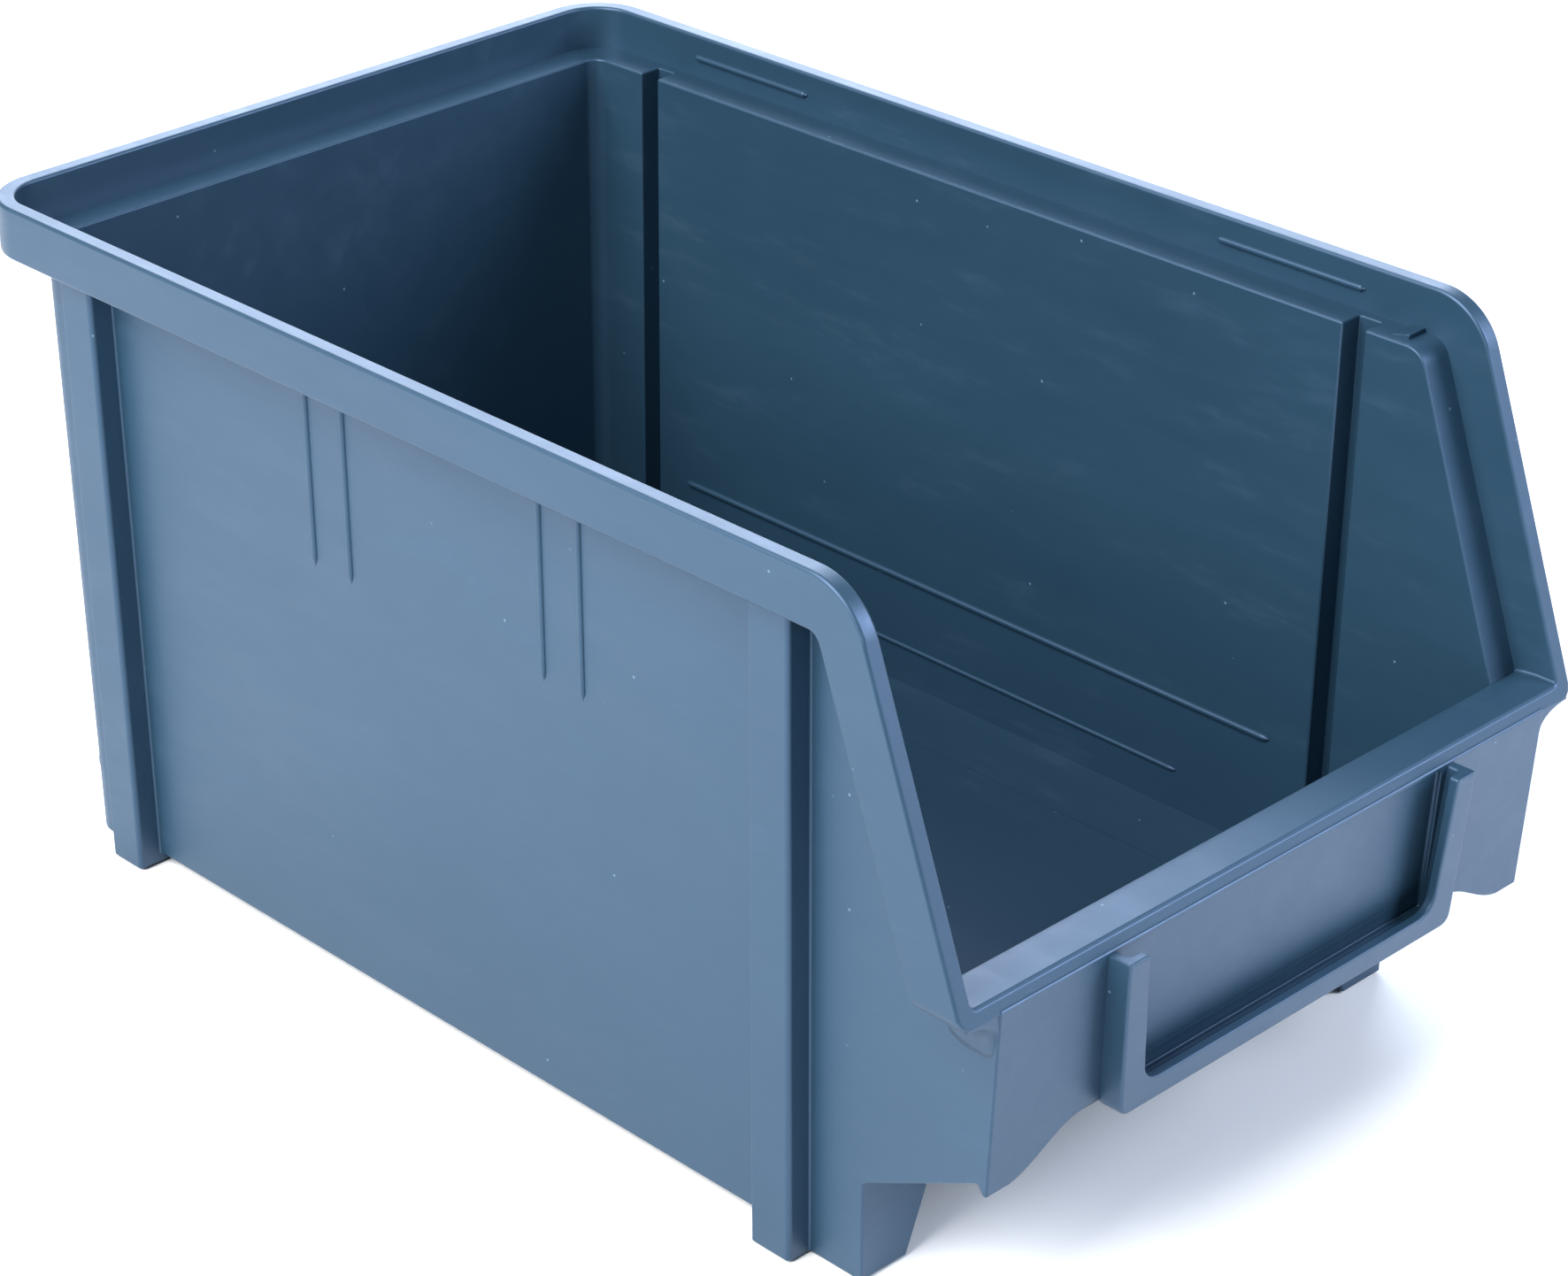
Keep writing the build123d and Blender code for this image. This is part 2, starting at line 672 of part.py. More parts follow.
with BuildPart() as label_arm:
    xz_prism(
        [
            (HOLDER_IN_BOTTOM_X, HOLDER_ARM_Z),
            (holder_x(HOLDER_ARM_Z), HOLDER_ARM_Z),
            (HOLDER_TOP_X, LIP_NOSE_Z),
            (HOLDER_IN_TOP_X, LIP_NOSE_Z),
        ],
        FRONT_LIMIT_Y,
        0,
    )
    holder_slab(flange_depth, HOLDER_ARM_Z, LIP_NOSE_Z)
    add(arm_side.part)
save_pair(label_arm, "label_arm")

with BuildPart() as sill_side:
    sill_outline(HOLDER_BOTTOM_X - HOLDER_SIDE, HOLDER_BOTTOM_Z + HOLDER_SIDE, HOLDER_INNER_RADIUS)
    holder_slab(side_depth, HOLDER_BOTTOM_Z, HOLDER_ARM_Z)

with BuildPart() as label_sill:
    sill_outline(HOLDER_IN_BOTTOM_X, HOLDER_SILL_Z, HOLDER_RADIUS)
    holder_slab(flange_depth, HOLDER_BOTTOM_Z, HOLDER_ARM_Z)
    add(sill_side.part)
save(label_sill, "label_sill")

# Raised ribs outside and beads inside
panel_middle = (FRONT_PILLAR_Y[1] + REAR_PILLAR_Y[0]) / 2
for number, offset in enumerate(RIB_OFFSETS, start=1):
    with BuildPart() as side_rib:
        xz_prism(
            wall_profile(
                PANEL_IN + WALL, PANEL_IN + WALL + RIB_RAISE, BAND_UNDER_Z - RIB_LENGTH, BAND_UNDER_Z
            ),
            panel_middle + offset - RIB_WIDTH / 2,
            panel_middle + offset + RIB_WIDTH / 2,
        )
    save_pair(side_rib, f"side_rib_{number}")

rear_bead_end = REAR_PILLAR_Y[0] - COLLAR_BEAD_REAR_INSET
front_bead_start = BEND_Y + COLLAR_BEAD_FRONT_INSET
for name, y_front, y_rear in (
    ("rear", rear_bead_end - COLLAR_BEAD_REAR_LENGTH, rear_bead_end),
    ("front", front_bead_start, front_bead_start + COLLAR_BEAD_FRONT_LENGTH),
):
    with BuildPart() as collar_bead:
        with BuildSketch(Plane.XZ.offset(-y_rear)):
            with Locations((COLLAR_IN_X, BIN_HEIGHT - COLLAR_BEAD_DROP)):
                Circle(BEAD_RADIUS)
                Rectangle(
                    BEAD_RADIUS * 2,
                    BEAD_RADIUS * 2,
                    align=(Align.MAX, Align.CENTER),
                    mode=Mode.INTERSECT,
                )
        extrude(amount=y_rear - y_front)
    save_pair(collar_bead, f"collar_bead_{name}")

for name, (rise, front_inset, rear_inset) in (
    ("upper", UPPER_WALL_BEAD),
    ("lower", LOWER_WALL_BEAD),
):
    bead_z = FLOOR_TOP_Z + rise
    bead_rear_y = REAR_PILLAR_Y[0] - rear_inset
    with BuildPart() as wall_bead:
        with BuildSketch(Plane.XZ.offset(-bead_rear_y)):
            with Locations((PANEL_IN - draft(bead_z), bead_z)):
                Circle(BEAD_RADIUS)
            with BuildLine():
                Polyline(*wall_profile(0, PANEL_IN, PANEL_FOOT_Z, LEDGE_TOP_Z), close=True)
            make_face(mode=Mode.INTERSECT)
        extrude(amount=bead_rear_y - FRONT_PILLAR_Y[1] - front_inset)
    save_pair(wall_bead, f"wall_bead_{name}")
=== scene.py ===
"""Looks of an open-front stacking storage bin, moulded in one piece in blue-grey polypropylene.

Lengths in the dataclasses are millimetres in the CAD frame (+Z up, -Y the open front), and every
finished mesh is in metres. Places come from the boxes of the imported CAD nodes.
"""

import logging
import math
from collections.abc import Sequence
from dataclasses import dataclass
from enum import Enum

import bmesh
import bpy
from mathutils import Matrix, Vector


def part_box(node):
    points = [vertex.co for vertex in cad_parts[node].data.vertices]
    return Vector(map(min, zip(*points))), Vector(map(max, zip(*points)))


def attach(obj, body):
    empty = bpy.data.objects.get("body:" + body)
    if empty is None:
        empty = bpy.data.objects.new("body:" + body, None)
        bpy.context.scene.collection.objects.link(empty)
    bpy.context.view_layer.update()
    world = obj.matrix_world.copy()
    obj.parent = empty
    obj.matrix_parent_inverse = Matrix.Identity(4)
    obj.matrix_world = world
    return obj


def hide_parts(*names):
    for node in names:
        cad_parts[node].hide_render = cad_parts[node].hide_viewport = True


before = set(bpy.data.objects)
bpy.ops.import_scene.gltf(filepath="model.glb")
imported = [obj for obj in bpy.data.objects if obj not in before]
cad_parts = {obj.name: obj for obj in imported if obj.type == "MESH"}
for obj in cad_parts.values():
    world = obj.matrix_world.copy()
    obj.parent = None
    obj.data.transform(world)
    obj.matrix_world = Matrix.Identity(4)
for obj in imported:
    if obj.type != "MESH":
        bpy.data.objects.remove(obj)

LOG = logging.getLogger("storage_bin")
MM = 0.001
BODY = "root"
SIDES = {"left": -1.0, "right": 1.0}

# The rounded edges take the lighter edge finish: a painted highlight along every edge, with some real
# scuffing.
EDGE_HIGHLIGHT_SLOT = 1                     # the handled edges' place in a piece's material list
OWN_SLOT = -1                     # a rounded edge keeps the material of its faces
SHARP_ANGLE = math.radians(24)    # an edge that turns by more than this is rounded
FLAT_ANGLE = math.radians(0.4)    # faces that turn by less than this lie in one plane
MERGE_DISTANCE = 0.15             # points nearer than this are one point
ROUND_SEGMENTS = 3
FULL_WEIGHT = 100                 # the larger faces alone decide how a rounded solid is shaded
CUT_PAST = 9.0                    # how far a cutting solid reaches past what it cuts
CUT_WIDE = 1.1                    # the same across the bin, as a share of the rim's half width
CORNER_STEPS = 8

Point2 = tuple[float, float]
Point3 = tuple[float, float, float]
Object = bpy.types.Object
Socket = bpy.types.NodeSocket


class Operation(Enum):
    """How one solid is combined with another."""

    UNION = "UNION"
    DIFFERENCE = "DIFFERENCE"
    INTERSECT = "INTERSECT"


def node_box(node: str) -> tuple[Vector, Vector]:
    """Box of a CAD node in millimetres."""
    low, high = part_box(node)
    return low / MM, high / MM


def pairs(*stems: str) -> list[str]:
    """Names of the left and the right CAD node of each stem."""
    return [f"{stem}_{side}" for stem in stems for side in SIDES]


def eased(share: float) -> float:
    """Smooth step from 0 to 1."""
    return share * share * (3 - 2 * share)


def mirrored(half: Sequence[Point2]) -> list[Point2]:
    """Outline of a right half followed by its mirror image, backwards."""
    return [*half, *((-across, along) for across, along in reversed(half))]


def arc(centre: Point2, radius: float, start: float, end: float, steps: int) -> list[Point2]:
    """Points along a circular arc.

    Args:
        centre: Centre of the circle.
        radius: Radius of the circle.
        start: First angle in degrees.
        end: Last angle in degrees.
        steps: Number of straight steps.

    Returns:
        The points, both ends included.
    """
    points = []
    for index in range(steps + 1):
        angle = math.radians(start + (end - start) * index / steps)
        points.append((centre[0] + radius * math.cos(angle), centre[1] + radius * math.sin(angle)))
    return points


def skin(rings: Sequence[Sequence[Point3]]) -> Object:
    """Closed solid with one outline at each station, capped at both ends.

    Args:
        rings: Outlines with the same number of points each.

    Returns:
        The solid, linked to the scene, with its faces pointing outwards.
    """
    count = len(rings[0])
    points = [point for ring in rings for point in ring]
    faces = [tuple(range(count)), tuple(range(len(points) - count, len(points)))]
    for station in range(len(rings) - 1):
        base = station * count
        for index in range(count):
            following = (index + 1) % count
            faces.append((base + index, base + following, base + count + following, base + count + index))
    mesh = bpy.data.meshes.new("solid")
    mesh.from_pydata(points, [], faces)
    work = bmesh.new()
    work.from_mesh(mesh)
    bmesh.ops.recalc_face_normals(work, faces=work.faces)
    work.to_mesh(mesh)
    work.free()
    made = bpy.data.objects.new("solid", mesh)
    bpy.context.scene.collection.objects.link(made)
    return made


def along_x(outline: Sequence[Point2], low: float, high: float) -> Object:
    """Prism of a YZ outline between two places on X."""
    return skin([[(x, y, z) for y, z in outline] for x in (low, high)])


def along_y(outline: Sequence[Point2], low: float, high: float) -> Object:
    """Prism of an XZ outline between two places on Y."""
    return skin([[(x, y, z) for x, z in outline] for y in (low, high)])


def along_z(outline: Sequence[Point2], low: float, high: float) -> Object:
    """Prism of an XY outline between two heights."""
    return skin([[(x, y, z) for x, y in outline] for z in (low, high)])


def block(low: Point3, high: Point3) -> Object:
    """Box between two corners."""
    outline = [(low[0], low[1]), (high[0], low[1]), (high[0], high[1]), (low[0], high[1])]
    return along_z(outline, low[2], high[2])


def evaluated(target: Object) -> Object:
    """Replace an object's mesh by its evaluated one and drop its modifiers.

    Args:
        target: Object with modifiers.

    Returns:
        The same object, which keeps its own shading normals.
    """
    graph = bpy.context.evaluated_depsgraph_get()
    mesh = bpy.data.meshes.new_from_object(
        target.evaluated_get(graph), preserve_all_data_layers=True, depsgraph=graph
    )
    target.modifiers.clear()
    target.data = mesh
    return target


def combine(target: Object, other: Object, operation: Operation) -> Object:
    """Combine two solids into the first and remove the second.

    Args:
        target: Solid that is changed.
        other: Solid that it is combined with.
        operation: How they are combined.

    Returns:
        The changed solid.
    """
    modifier = target.modifiers.new("combine", "BOOLEAN")
    modifier.operation = operation.value
    modifier.solver = "MANIFOLD"
    modifier.object = other
    evaluated(target)
    bpy.data.objects.remove(other)
    return target


def tidied(target: Object) -> Object:
    """Merge doubled points and join the faces that lie in one plane.

    Args:
        target: Solid left by the combining.

    Returns:
        The same object.
    """
    work = bmesh.new()
    work.from_mesh(target.data)
    bmesh.ops.remove_doubles(work, verts=work.verts, dist=MERGE_DISTANCE)
    bmesh.ops.dissolve_limit(
        work, angle_limit=FLAT_ANGLE, verts=work.verts, edges=work.edges, use_dissolve_boundaries=False
    )
    bmesh.ops.recalc_face_normals(work, faces=work.faces)
    work.to_mesh(target.data)
    work.free()
    return target


def rounded(target: Object, radius: float, material: int = OWN_SLOT) -> Object:
    """Round every sharp edge of a solid and give it even, face-weighted shading.

    The rounding isn't clamped, because the shortest edges would clamp it to nothing everywhere.

    Args:
        target: Solid in millimetres.
        radius: Edge radius in millimetres.
        material: Place of the rounded edges' material in the list.

    Returns:
        The same object.
    """
    tidied(target)
    modifier = target.modifiers.new("edges", "BEVEL")
    modifier.width = radius
    modifier.segments = ROUND_SEGMENTS
    modifier.limit_method = "ANGLE"
    modifier.angle_limit = SHARP_ANGLE
    modifier.miter_outer = "MITER_ARC"
    modifier.use_clamp_overlap = False
    modifier.material = material
    evaluated(target)
    for face in target.data.polygons:
        face.use_smooth = True
    shading = target.modifiers.new("shading", "WEIGHTED_NORMAL")
    shading.weight = FULL_WEIGHT
    return evaluated(target)


def channel(value: float) -> float:
    """One sRGB channel as linear light."""
    return value / 12.92 if value <= 0.04045 else ((value + 0.055) / 1.055) ** 2.4


def linear(hex_colour: str) -> tuple[float, float, float, float]:
    """Turn an sRGB hex colour into linear light.

    Args:
        hex_colour: Six hex digits after a number sign.

    Returns:
        Red, green, blue and full alpha.
    """
    text = hex_colour.lstrip("#")
    parts = [channel(int(text[index:index + 2], 16) / 255) for index in (0, 2, 4)]
    return (parts[0], parts[1], parts[2], 1.0)


def add_node(
    tree: bpy.types.NodeTree,
    kind: str,
    settings: dict[str, object] | None = None,
    inputs: dict[str | int, object] | None = None,
) -> bpy.types.Node:
    """Add one node with its settings, its values and its links.

    Args:
        tree: Node tree to add to.
        kind: Blender's name for the kind of node.
        settings: Attributes of the node.
        inputs: Value, or output socket to link, of each input.

    Returns:
        The new node.
    """
    node = tree.nodes.new(kind)
    for key, value in (settings or {}).items():
        setattr(node, key, value)
    for key, value in (inputs or {}).items():
        if isinstance(value, Socket):
            tree.links.new(value, node.inputs[key])
        else:
            node.inputs[key].default_value = value
    return node


@dataclass
class ShaderTree:
    """Short ways to add the nodes that the finishes are made of."""

    tree: bpy.types.NodeTree

    def noise(self, place: Socket, size_mm: float, detail: float, roughness: float = 0.5) -> Socket:
        """Noise whose features are about one size."""
        inputs = {"Vector": place, "Scale": 1 / (size_mm * MM), "Detail": detail, "Roughness": roughness}
        return add_node(self.tree, "ShaderNodeTexNoise", inputs=inputs).outputs["Fac"]

    def ranged(self, value: Socket, source: Point2, target: Point2) -> Socket:
        """Value moved from one range to another and kept inside it."""
        inputs = {"From Min": source[0], "From Max": source[1], "To Min": target[0], "To Max": target[1]}
        inputs["Value"] = value
        return add_node(self.tree, "ShaderNodeMapRange", inputs=inputs).outputs["Result"]

    def mixed(self, share: Socket, first: object, second: object) -> Socket:
        """Two colours mixed by a share of the second."""
        inputs = {"Factor": share, 6: first, 7: second}
        return add_node(self.tree, "ShaderNodeMix", {"data_type": "RGBA"}, inputs).outputs[2]

    def bumped(self, height: Socket, depth_mm: float, **before: Socket) -> Socket:
        """Normal tilted by a height, on top of an earlier bump's normal if one is given."""
        inputs = {"Height": height, "Distance": depth_mm * MM, "Strength": 1.0, **before}
        return add_node(self.tree, "ShaderNodeBump", inputs=inputs).outputs["Normal"]


@dataclass(frozen=True)
class MouldedPolypropylene:
    """Injection-moulded polypropylene: satin, faintly mottled, with dust specks and light scuffs.

    Polypropylene is soft and waxy, so its gloss is broad, and its colour goes pale where it is rubbed.
    Its refractive index is about 1.49. The higher one here, with the blue tint, gives the pale, cool
    sheen that the drafted walls take from the lamps.
    """

    name: str
    colour: str
    mottle_colour: str
    rubbed_colour: str
    rubbed_share: float
    roughness: float = 0.46
    roughness_spread: float = 0.05
    ior: float = 1.75
    sheen_tint: str = "#B5D0FF"
    mottle_mm: float = 38.0
    grain_mm: float = 0.9
    grain_height_mm: float = 0.010
    wave_mm: float = 55.0
    wave_height_mm: float = 0.05
    scuff_mm: float = 7.0
    scuff_turn: Point3 = (0.4, 0.2, 0.5)
    scuff_stretch: Point3 = (1.0, 0.22, 1.0)
    scuff_range: Point2 = (0.56, 0.80)
    gloss_range: Point2 = (0.3, 0.7)
    speck_mm: float = 9.0
    speck_size: float = 0.020
    speck_fade: float = 1.7
    speck_share: float = 0.5

    def build(self) -> bpy.types.Material:
        """Make the material.

        Returns:
            The material, ready to be given to a mesh.
        """
        material = bpy.data.materials.new(self.name)
        material.use_nodes = True
        tree = material.node_tree
        tree.nodes.clear()
        nodes = ShaderTree(tree)
        place = add_node(tree, "ShaderNodeTexCoord").outputs["Object"]

        mottle = nodes.noise(place, self.mottle_mm, 4.0, 0.6)
        base = nodes.mixed(mottle, linear(self.colour), linear(self.mottle_colour))
        streak = add_node(
            tree,
            "ShaderNodeMapping",
            inputs={"Vector": place, "Rotation": self.scuff_turn, "Scale": self.scuff_stretch},
        )
        scuff = nodes.noise(streak.outputs["Vector"], self.scuff_mm, 6.0, 0.72)
        scuffed = nodes.ranged(scuff, self.scuff_range, (0.0, self.rubbed_share))
        cells = add_node(
            tree,
            "ShaderNodeTexVoronoi",
            {"feature": "F1"},
            {"Vector": place, "Scale": 1 / (self.speck_mm * MM), "Randomness": 1.0},
        )
        edge = (self.speck_size, self.speck_size * self.speck_fade)
        speck = nodes.ranged(cells.outputs["Distance"], edge, (self.speck_share, 0.0))
        pale = add_node(tree, "ShaderNodeMath", {"operation": "MAXIMUM"}, {0: scuffed, 1: speck})
        colour = nodes.mixed(pale.outputs["Value"], base, linear(self.rubbed_colour))

        gloss = (self.roughness - self.roughness_spread, self.roughness + self.roughness_spread)
        grain = nodes.bumped(nodes.noise(place, self.grain_mm, 3.0), self.grain_height_mm)
        wave = nodes.bumped(nodes.noise(place, self.wave_mm, 1.0), self.wave_height_mm, Normal=grain)
        shader = add_node(
            tree,
            "ShaderNodeBsdfPrincipled",
            inputs={
                "Base Color": colour,
                "Roughness": nodes.ranged(scuff, self.gloss_range, gloss),
                "IOR": self.ior,
                "Specular Tint": linear(self.sheen_tint),
                "Normal": wave,
            },
        )
        add_node(tree, "ShaderNodeOutputMaterial", inputs={"Surface": shader.outputs["BSDF"]})
        return material


# Skin straight from a finely textured mould: a deep, even blue-grey that the lamps cover with a wide,
# soft sheen, with no sharp reflection anywhere.
FACE_FINISH = MouldedPolypropylene(
    name="polypropylene_moulded_satin",
    colour="#1C3546",
    mottle_colour="#203B4C",
    rubbed_colour="#7896AE",
    rubbed_share=0.05,
)
# The same skin on the rounded edges, in a lighter blue that is a painted highlight for the lamps' glint along
# every edge, with more scuffs from hands and from stacked bins, so every edge reads as a fine pale line.
EDGE_HIGHLIGHT_AND_SCUFFS = MouldedPolypropylene(
    name="polypropylene_edge_highlight_and_scuffs",
    colour="#315672",
    mottle_colour="#3A6382",
    rubbed_colour="#8FACC4",
    rubbed_share=0.22,
)


@dataclass
class Finishes:
    """The two finishes of the moulding: its faces, and its edges, which carry a painted highlight and scuffs.
    """

    face: bpy.types.Material
    # lighter finish of the rounded edges: a painted highlight plus scuffs
    edge: bpy.types.Material

    def dress(self, piece: Object) -> None:
        """Give a piece both finishes, the faces' one first.

        Args:
            piece: Piece whose faces already carry their material numbers.
        """
        piece.data.materials.clear()
        piece.data.materials.append(self.face)
        piece.data.materials.append(self.edge)


def declare(piece: Object, nodes: Sequence[str]) -> None:
    """Say what a finished piece rides on and stands for, and log how many faces it has.

    Args:
        piece: Finished piece in metres.
        nodes: CAD nodes that it stands for, or none for an added detail.
    """
    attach(piece, BODY)
    if nodes:
        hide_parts(*nodes)
    LOG.info("%s: %d faces", piece.name, len(piece.data.polygons))


def finish_piece(piece: Object, name: str, nodes: Sequence[str], finishes: Finishes) -> None:
    """Turn a solid in millimetres into a finished piece.

    Args:
        piece: Solid in millimetres.
        name: Name of the piece.
        nodes: CAD nodes that it stands for.
        finishes: The bin's finishes.
    """
    piece.name = name
    piece.data.name = name
    piece.data.transform(Matrix.Scale(MM, 4))
    finishes.dress(piece)
    declare(piece, nodes)


@dataclass
class Profile:
    """Sizes that the pieces share, and the lines worked out from them.

    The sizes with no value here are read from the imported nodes.
    """

    rim_half: float
    rim_rear: float
    rim_thickness: float
    height: float
    band: float
    ledge_z: float
    panel_in: float
    rear_in: float
    nose_y: float
    nose_z: float
    lip_top: float
    floor_top: float
    foot_front: float
    rear_pillar: Point2
    front_pillar: Point2
    wall: float = 1.9
    plate: float = 2.0
    pillar_step: float = 4.6
    draft: float = 0.007
    lean: float = 0.055
    slope_angle: float = math.radians(20.2)
    slope_radius: float = 12.0
    notch_z: float = 18.5

    @classmethod
    def from_nodes(cls) -> "Profile":
        """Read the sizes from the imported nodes.

        Returns:
            The sizes.
        """
        rim_low, rim_high = node_box("collar_rear")
        ledge_low, ledge_high = node_box("ledge_rear")
        lip_low, lip_high = node_box("front_lip")
        rear, front = (node_box(f"{place}_pillar_right") for place in ("rear", "front"))
        return cls(
            rim_half=node_box("collar_side_right")[1].x,
            rim_rear=rim_high.y,
            rim_thickness=rim_high.y - rim_low.y,
            height=rim_high.z,
            band=rim_high.z - rim_low.z,
            ledge_z=ledge_high.z,
            panel_in=node_box("ledge_side_right")[0].x,
            rear_in=node_box("rear_wall")[1].y - cls.wall + cls.draft * (ledge_high.z - ledge_low.z),
            nose_y=lip_low.y,
            nose_z=lip_low.z,
            lip_top=lip_high.z,
            floor_top=node_box("floor_pan")[1].z,
            foot_front=node_box("front_foot_right")[0].y,
            rear_pillar=(rear[0].y, rear[1].y),
            front_pillar=(front[0].y, front[1].y),
        )

    @property
    def ledge_drop(self) -> float:
        """Depth of the stacking ledge below the rim's top."""
        return self.height - self.ledge_z

    @property
    def pillar_in(self) -> float:
        """Inner face of the hollow pillars."""
        return self.panel_in + self.pillar_step

    @property
    def bend_y(self) -> float:
        """Where the rim starts to bend down."""
        turn = math.pi / 2 - self.slope_angle
        return self.slope_y(self.height) + self.slope_radius * math.tan(turn / 2)

    def inset_at(self, z: float) -> float:
        """How far the draft brings a wall in at height z."""
        return self.draft * (self.ledge_z - z)

    def slope_y(self, z: float, inset: float = 0.0) -> float:
        """Y of the sloping front edge at height z, moved into the band by inset."""
        shift = inset / math.cos(self.slope_angle)
        return self.nose_y + (z - self.nose_z) * math.tan(self.slope_angle) + shift

    def slope_z(self, y: float, inset: float) -> float:
        """Height of the sloping edge, moved in by inset, at depth y."""
        return self.nose_z + (y - self.slope_y(self.nose_z, inset)) / math.tan(self.slope_angle)

    def front_y(self, z: float, depth: float = 0.0) -> float:
        """Y of the front wall's outer face at height z, moved inwards by depth."""
        return self.nose_y + (self.nose_z - z) * self.lean + depth

    def edge_line(self, inset: float, low_z: float, rear_y: float, steps: int = 10) -> list[Point2]:
        """Line at an even inset from the rim's edge, from its low front end to the rear.

        Args:
            inset: Distance from the rim's edge.
            low_z: Height of the front end.
            rear_y: Depth of the rear end.
            steps: Number of straight steps in the bend.

        Returns:
            The points in Y and Z.
        """
        centre = (self.bend_y, self.height - self.slope_radius)
        start = 180 - math.degrees(self.slope_angle)
        bend = arc(centre, self.slope_radius - inset, start, 90, steps)
        return [(self.slope_y(low_z, inset), low_z), *bend, (rear_y, self.height - inset)]

    def band_solid(self, inset: float, low_z: float, steps: int = 10) -> Object:
        """Solid between a line inside the rim's edge and the rim's lower line, wider than the bin.

        Args:
            inset: Distance of the upper line from the rim's edge.
            low_z: Height of the front end.
            steps: Number of straight steps in the bend.

        Returns:
            The solid, to be intersected with a plan.
        """
        rear_y = self.rim_rear + CUT_PAST
        upper, lower = (self.edge_line(depth, low_z, rear_y, steps) for depth in (inset, self.band))
        return along_x([*upper, *reversed(lower)], -self.rim_half * CUT_WIDE, self.rim_half * CUT_WIDE)


@dataclass
class Part:
    """What every part of the moulding is made from: the shared sizes and the finishes."""

    profile: Profile
    finishes: Finishes


@dataclass
class Tub(Part):
    """Drafted wall with hollow pillars, stacking ledge and leaning front wall, all one sheet."""

    corner_radius: float = 4.5
    inner_radius: float = 2.6
    step_radius: float = 0.9
    step_steps: int = 4
    open_front: float = 1.4
    side_under: float = 0.7
    side_end: float = 1.4
    side_behind: float = 5.0
    nose_lap: float = 0.9
    foot_radius: float = 3.2
    heel_turn: float = -70.0
    heel_steps: int = 5
    heel_clear: float = 0.8
    panel_foot: float = 2.0
    quarter_z: float = 30.2
    quarter_share: float = 0.4
    ledge_radius: float = 8.8
    ledge_lap: float = 1.2
    ledge_end: float = 1.7
    arch_top: float = 34.6
    arch_low: float = 28.5
    arch_inset: float = 3.0
    arch_spread: float = 1.2
    arch_curve: float = 16.0
    arch_steps: int = 14
    window_half: float = 38.0
    window_low: float = 35.0
    window_depth: float = 1.0
    edge_radius: float = 0.38

    def outline(self, z: float, outer: bool) -> list[Point2]:
        """Plan outline of the wall's outer or inner face, open at the front.

        Args:
            z: Height of the outline.
            outer: True for the outer face, False for the inner one.

        Returns:
            The points in X and Y, from right to left round the rear.
        """
        p = self.profile
        move = (p.wall if outer else 0.0) - p.inset_at(z)
        side, pillar, rear = p.panel_in + move, p.pillar_in + move, p.rear_in + move
        shrink = 0.0 if outer else p.wall
        radius = self.corner_radius if outer else self.inner_radius
        step = self.step_radius
        half: list[Point2] = [(side, -p.rim_rear * self.open_front)]
        for start, end in (p.front_pillar, p.rear_pillar):
            near, far = start + shrink, end - shrink
            half.append((side, near))
            if outer:
                half += arc((pillar - step, near + step), step, -90, 0, self.step_steps)
            else:
                half.append((pillar, near))
            half += [(pillar, far), (side, far)]
        return mirrored(half + arc((side - radius, rear - radius), radius, 0, 90, CORNER_STEPS))

    def loft(self, outer: bool, low: float, high: float) -> Object:
        """Solid inside the wall's outer or inner face between two heights."""
        return skin([[(x, y, z) for x, y in self.outline(z, outer)] for z in (low, high)])

    def wall_side_view(self) -> list[Point2]:
        """Side view of the wall: slope, nose, notch, foot and rounded heel.

        Returns:
            The points in Y and Z.
        """
        p = self.profile
        radius = self.foot_radius
        heel_y = p.rear_in + p.wall - p.inset_at(0)
        behind = p.rim_rear + self.side_behind
        front = [
            (p.foot_front, 0.0),
            (p.foot_front, p.notch_z),
            (p.front_y(self.quarter_z, p.plate), self.quarter_z),
            (p.front_y(self.arch_low, p.plate * self.quarter_share), self.arch_low),
            (p.front_y(self.arch_low), self.arch_low),
            (p.front_y(p.nose_z + self.nose_lap), p.nose_z + self.nose_lap),
        ]
        top = p.edge_line(p.ledge_drop + self.side_under, p.lip_top - self.side_end, behind)
        rear = [(behind, radius * 3), (heel_y + self.heel_clear, radius * 3)]
        heel = arc((heel_y - radius, radius), radius, 0, self.heel_turn, self.heel_steps)
        return [*front, *top, *rear, *heel[1:]]

    def ledge(self) -> Object:
        """Make the stacking ledge, which follows the rim's bend and slope.

        Returns:
            The ledge as a solid with no opening.
        """
        p = self.profile
        half = p.rim_half - p.rim_thickness + self.ledge_lap
        rear = p.rim_rear - p.rim_thickness + self.ledge_lap
        corner = (half - self.ledge_radius, rear - self.ledge_radius)
        plan = mirrored([(half, -p.rim_rear), *arc(corner, self.ledge_radius, 0, 90, CORNER_STEPS)])
        ledge = along_z(plan, p.nose_z - 5, p.height)
        return combine(ledge, p.band_solid(p.ledge_drop, p.lip_top - self.ledge_end), Operation.INTERSECT)

    def cavity(self) -> Object:
        """Make the room inside the wall, behind the front wall's inner face.

        Returns:
            The room as a cutter, which reaches well past the top and the bottom.
        """
        p = self.profile
        low, high, rear = -25.0, p.height + 25.0, p.rim_rear + 30.0
        behind = [(p.front_y(low, p.plate), low), (rear, low), (rear, high), (p.front_y(high, p.plate), high)]
        room = self.loft(False, -20.0, p.height + 20.0)
        return combine(room, along_x(behind, -p.rim_half, p.rim_half), Operation.INTERSECT)

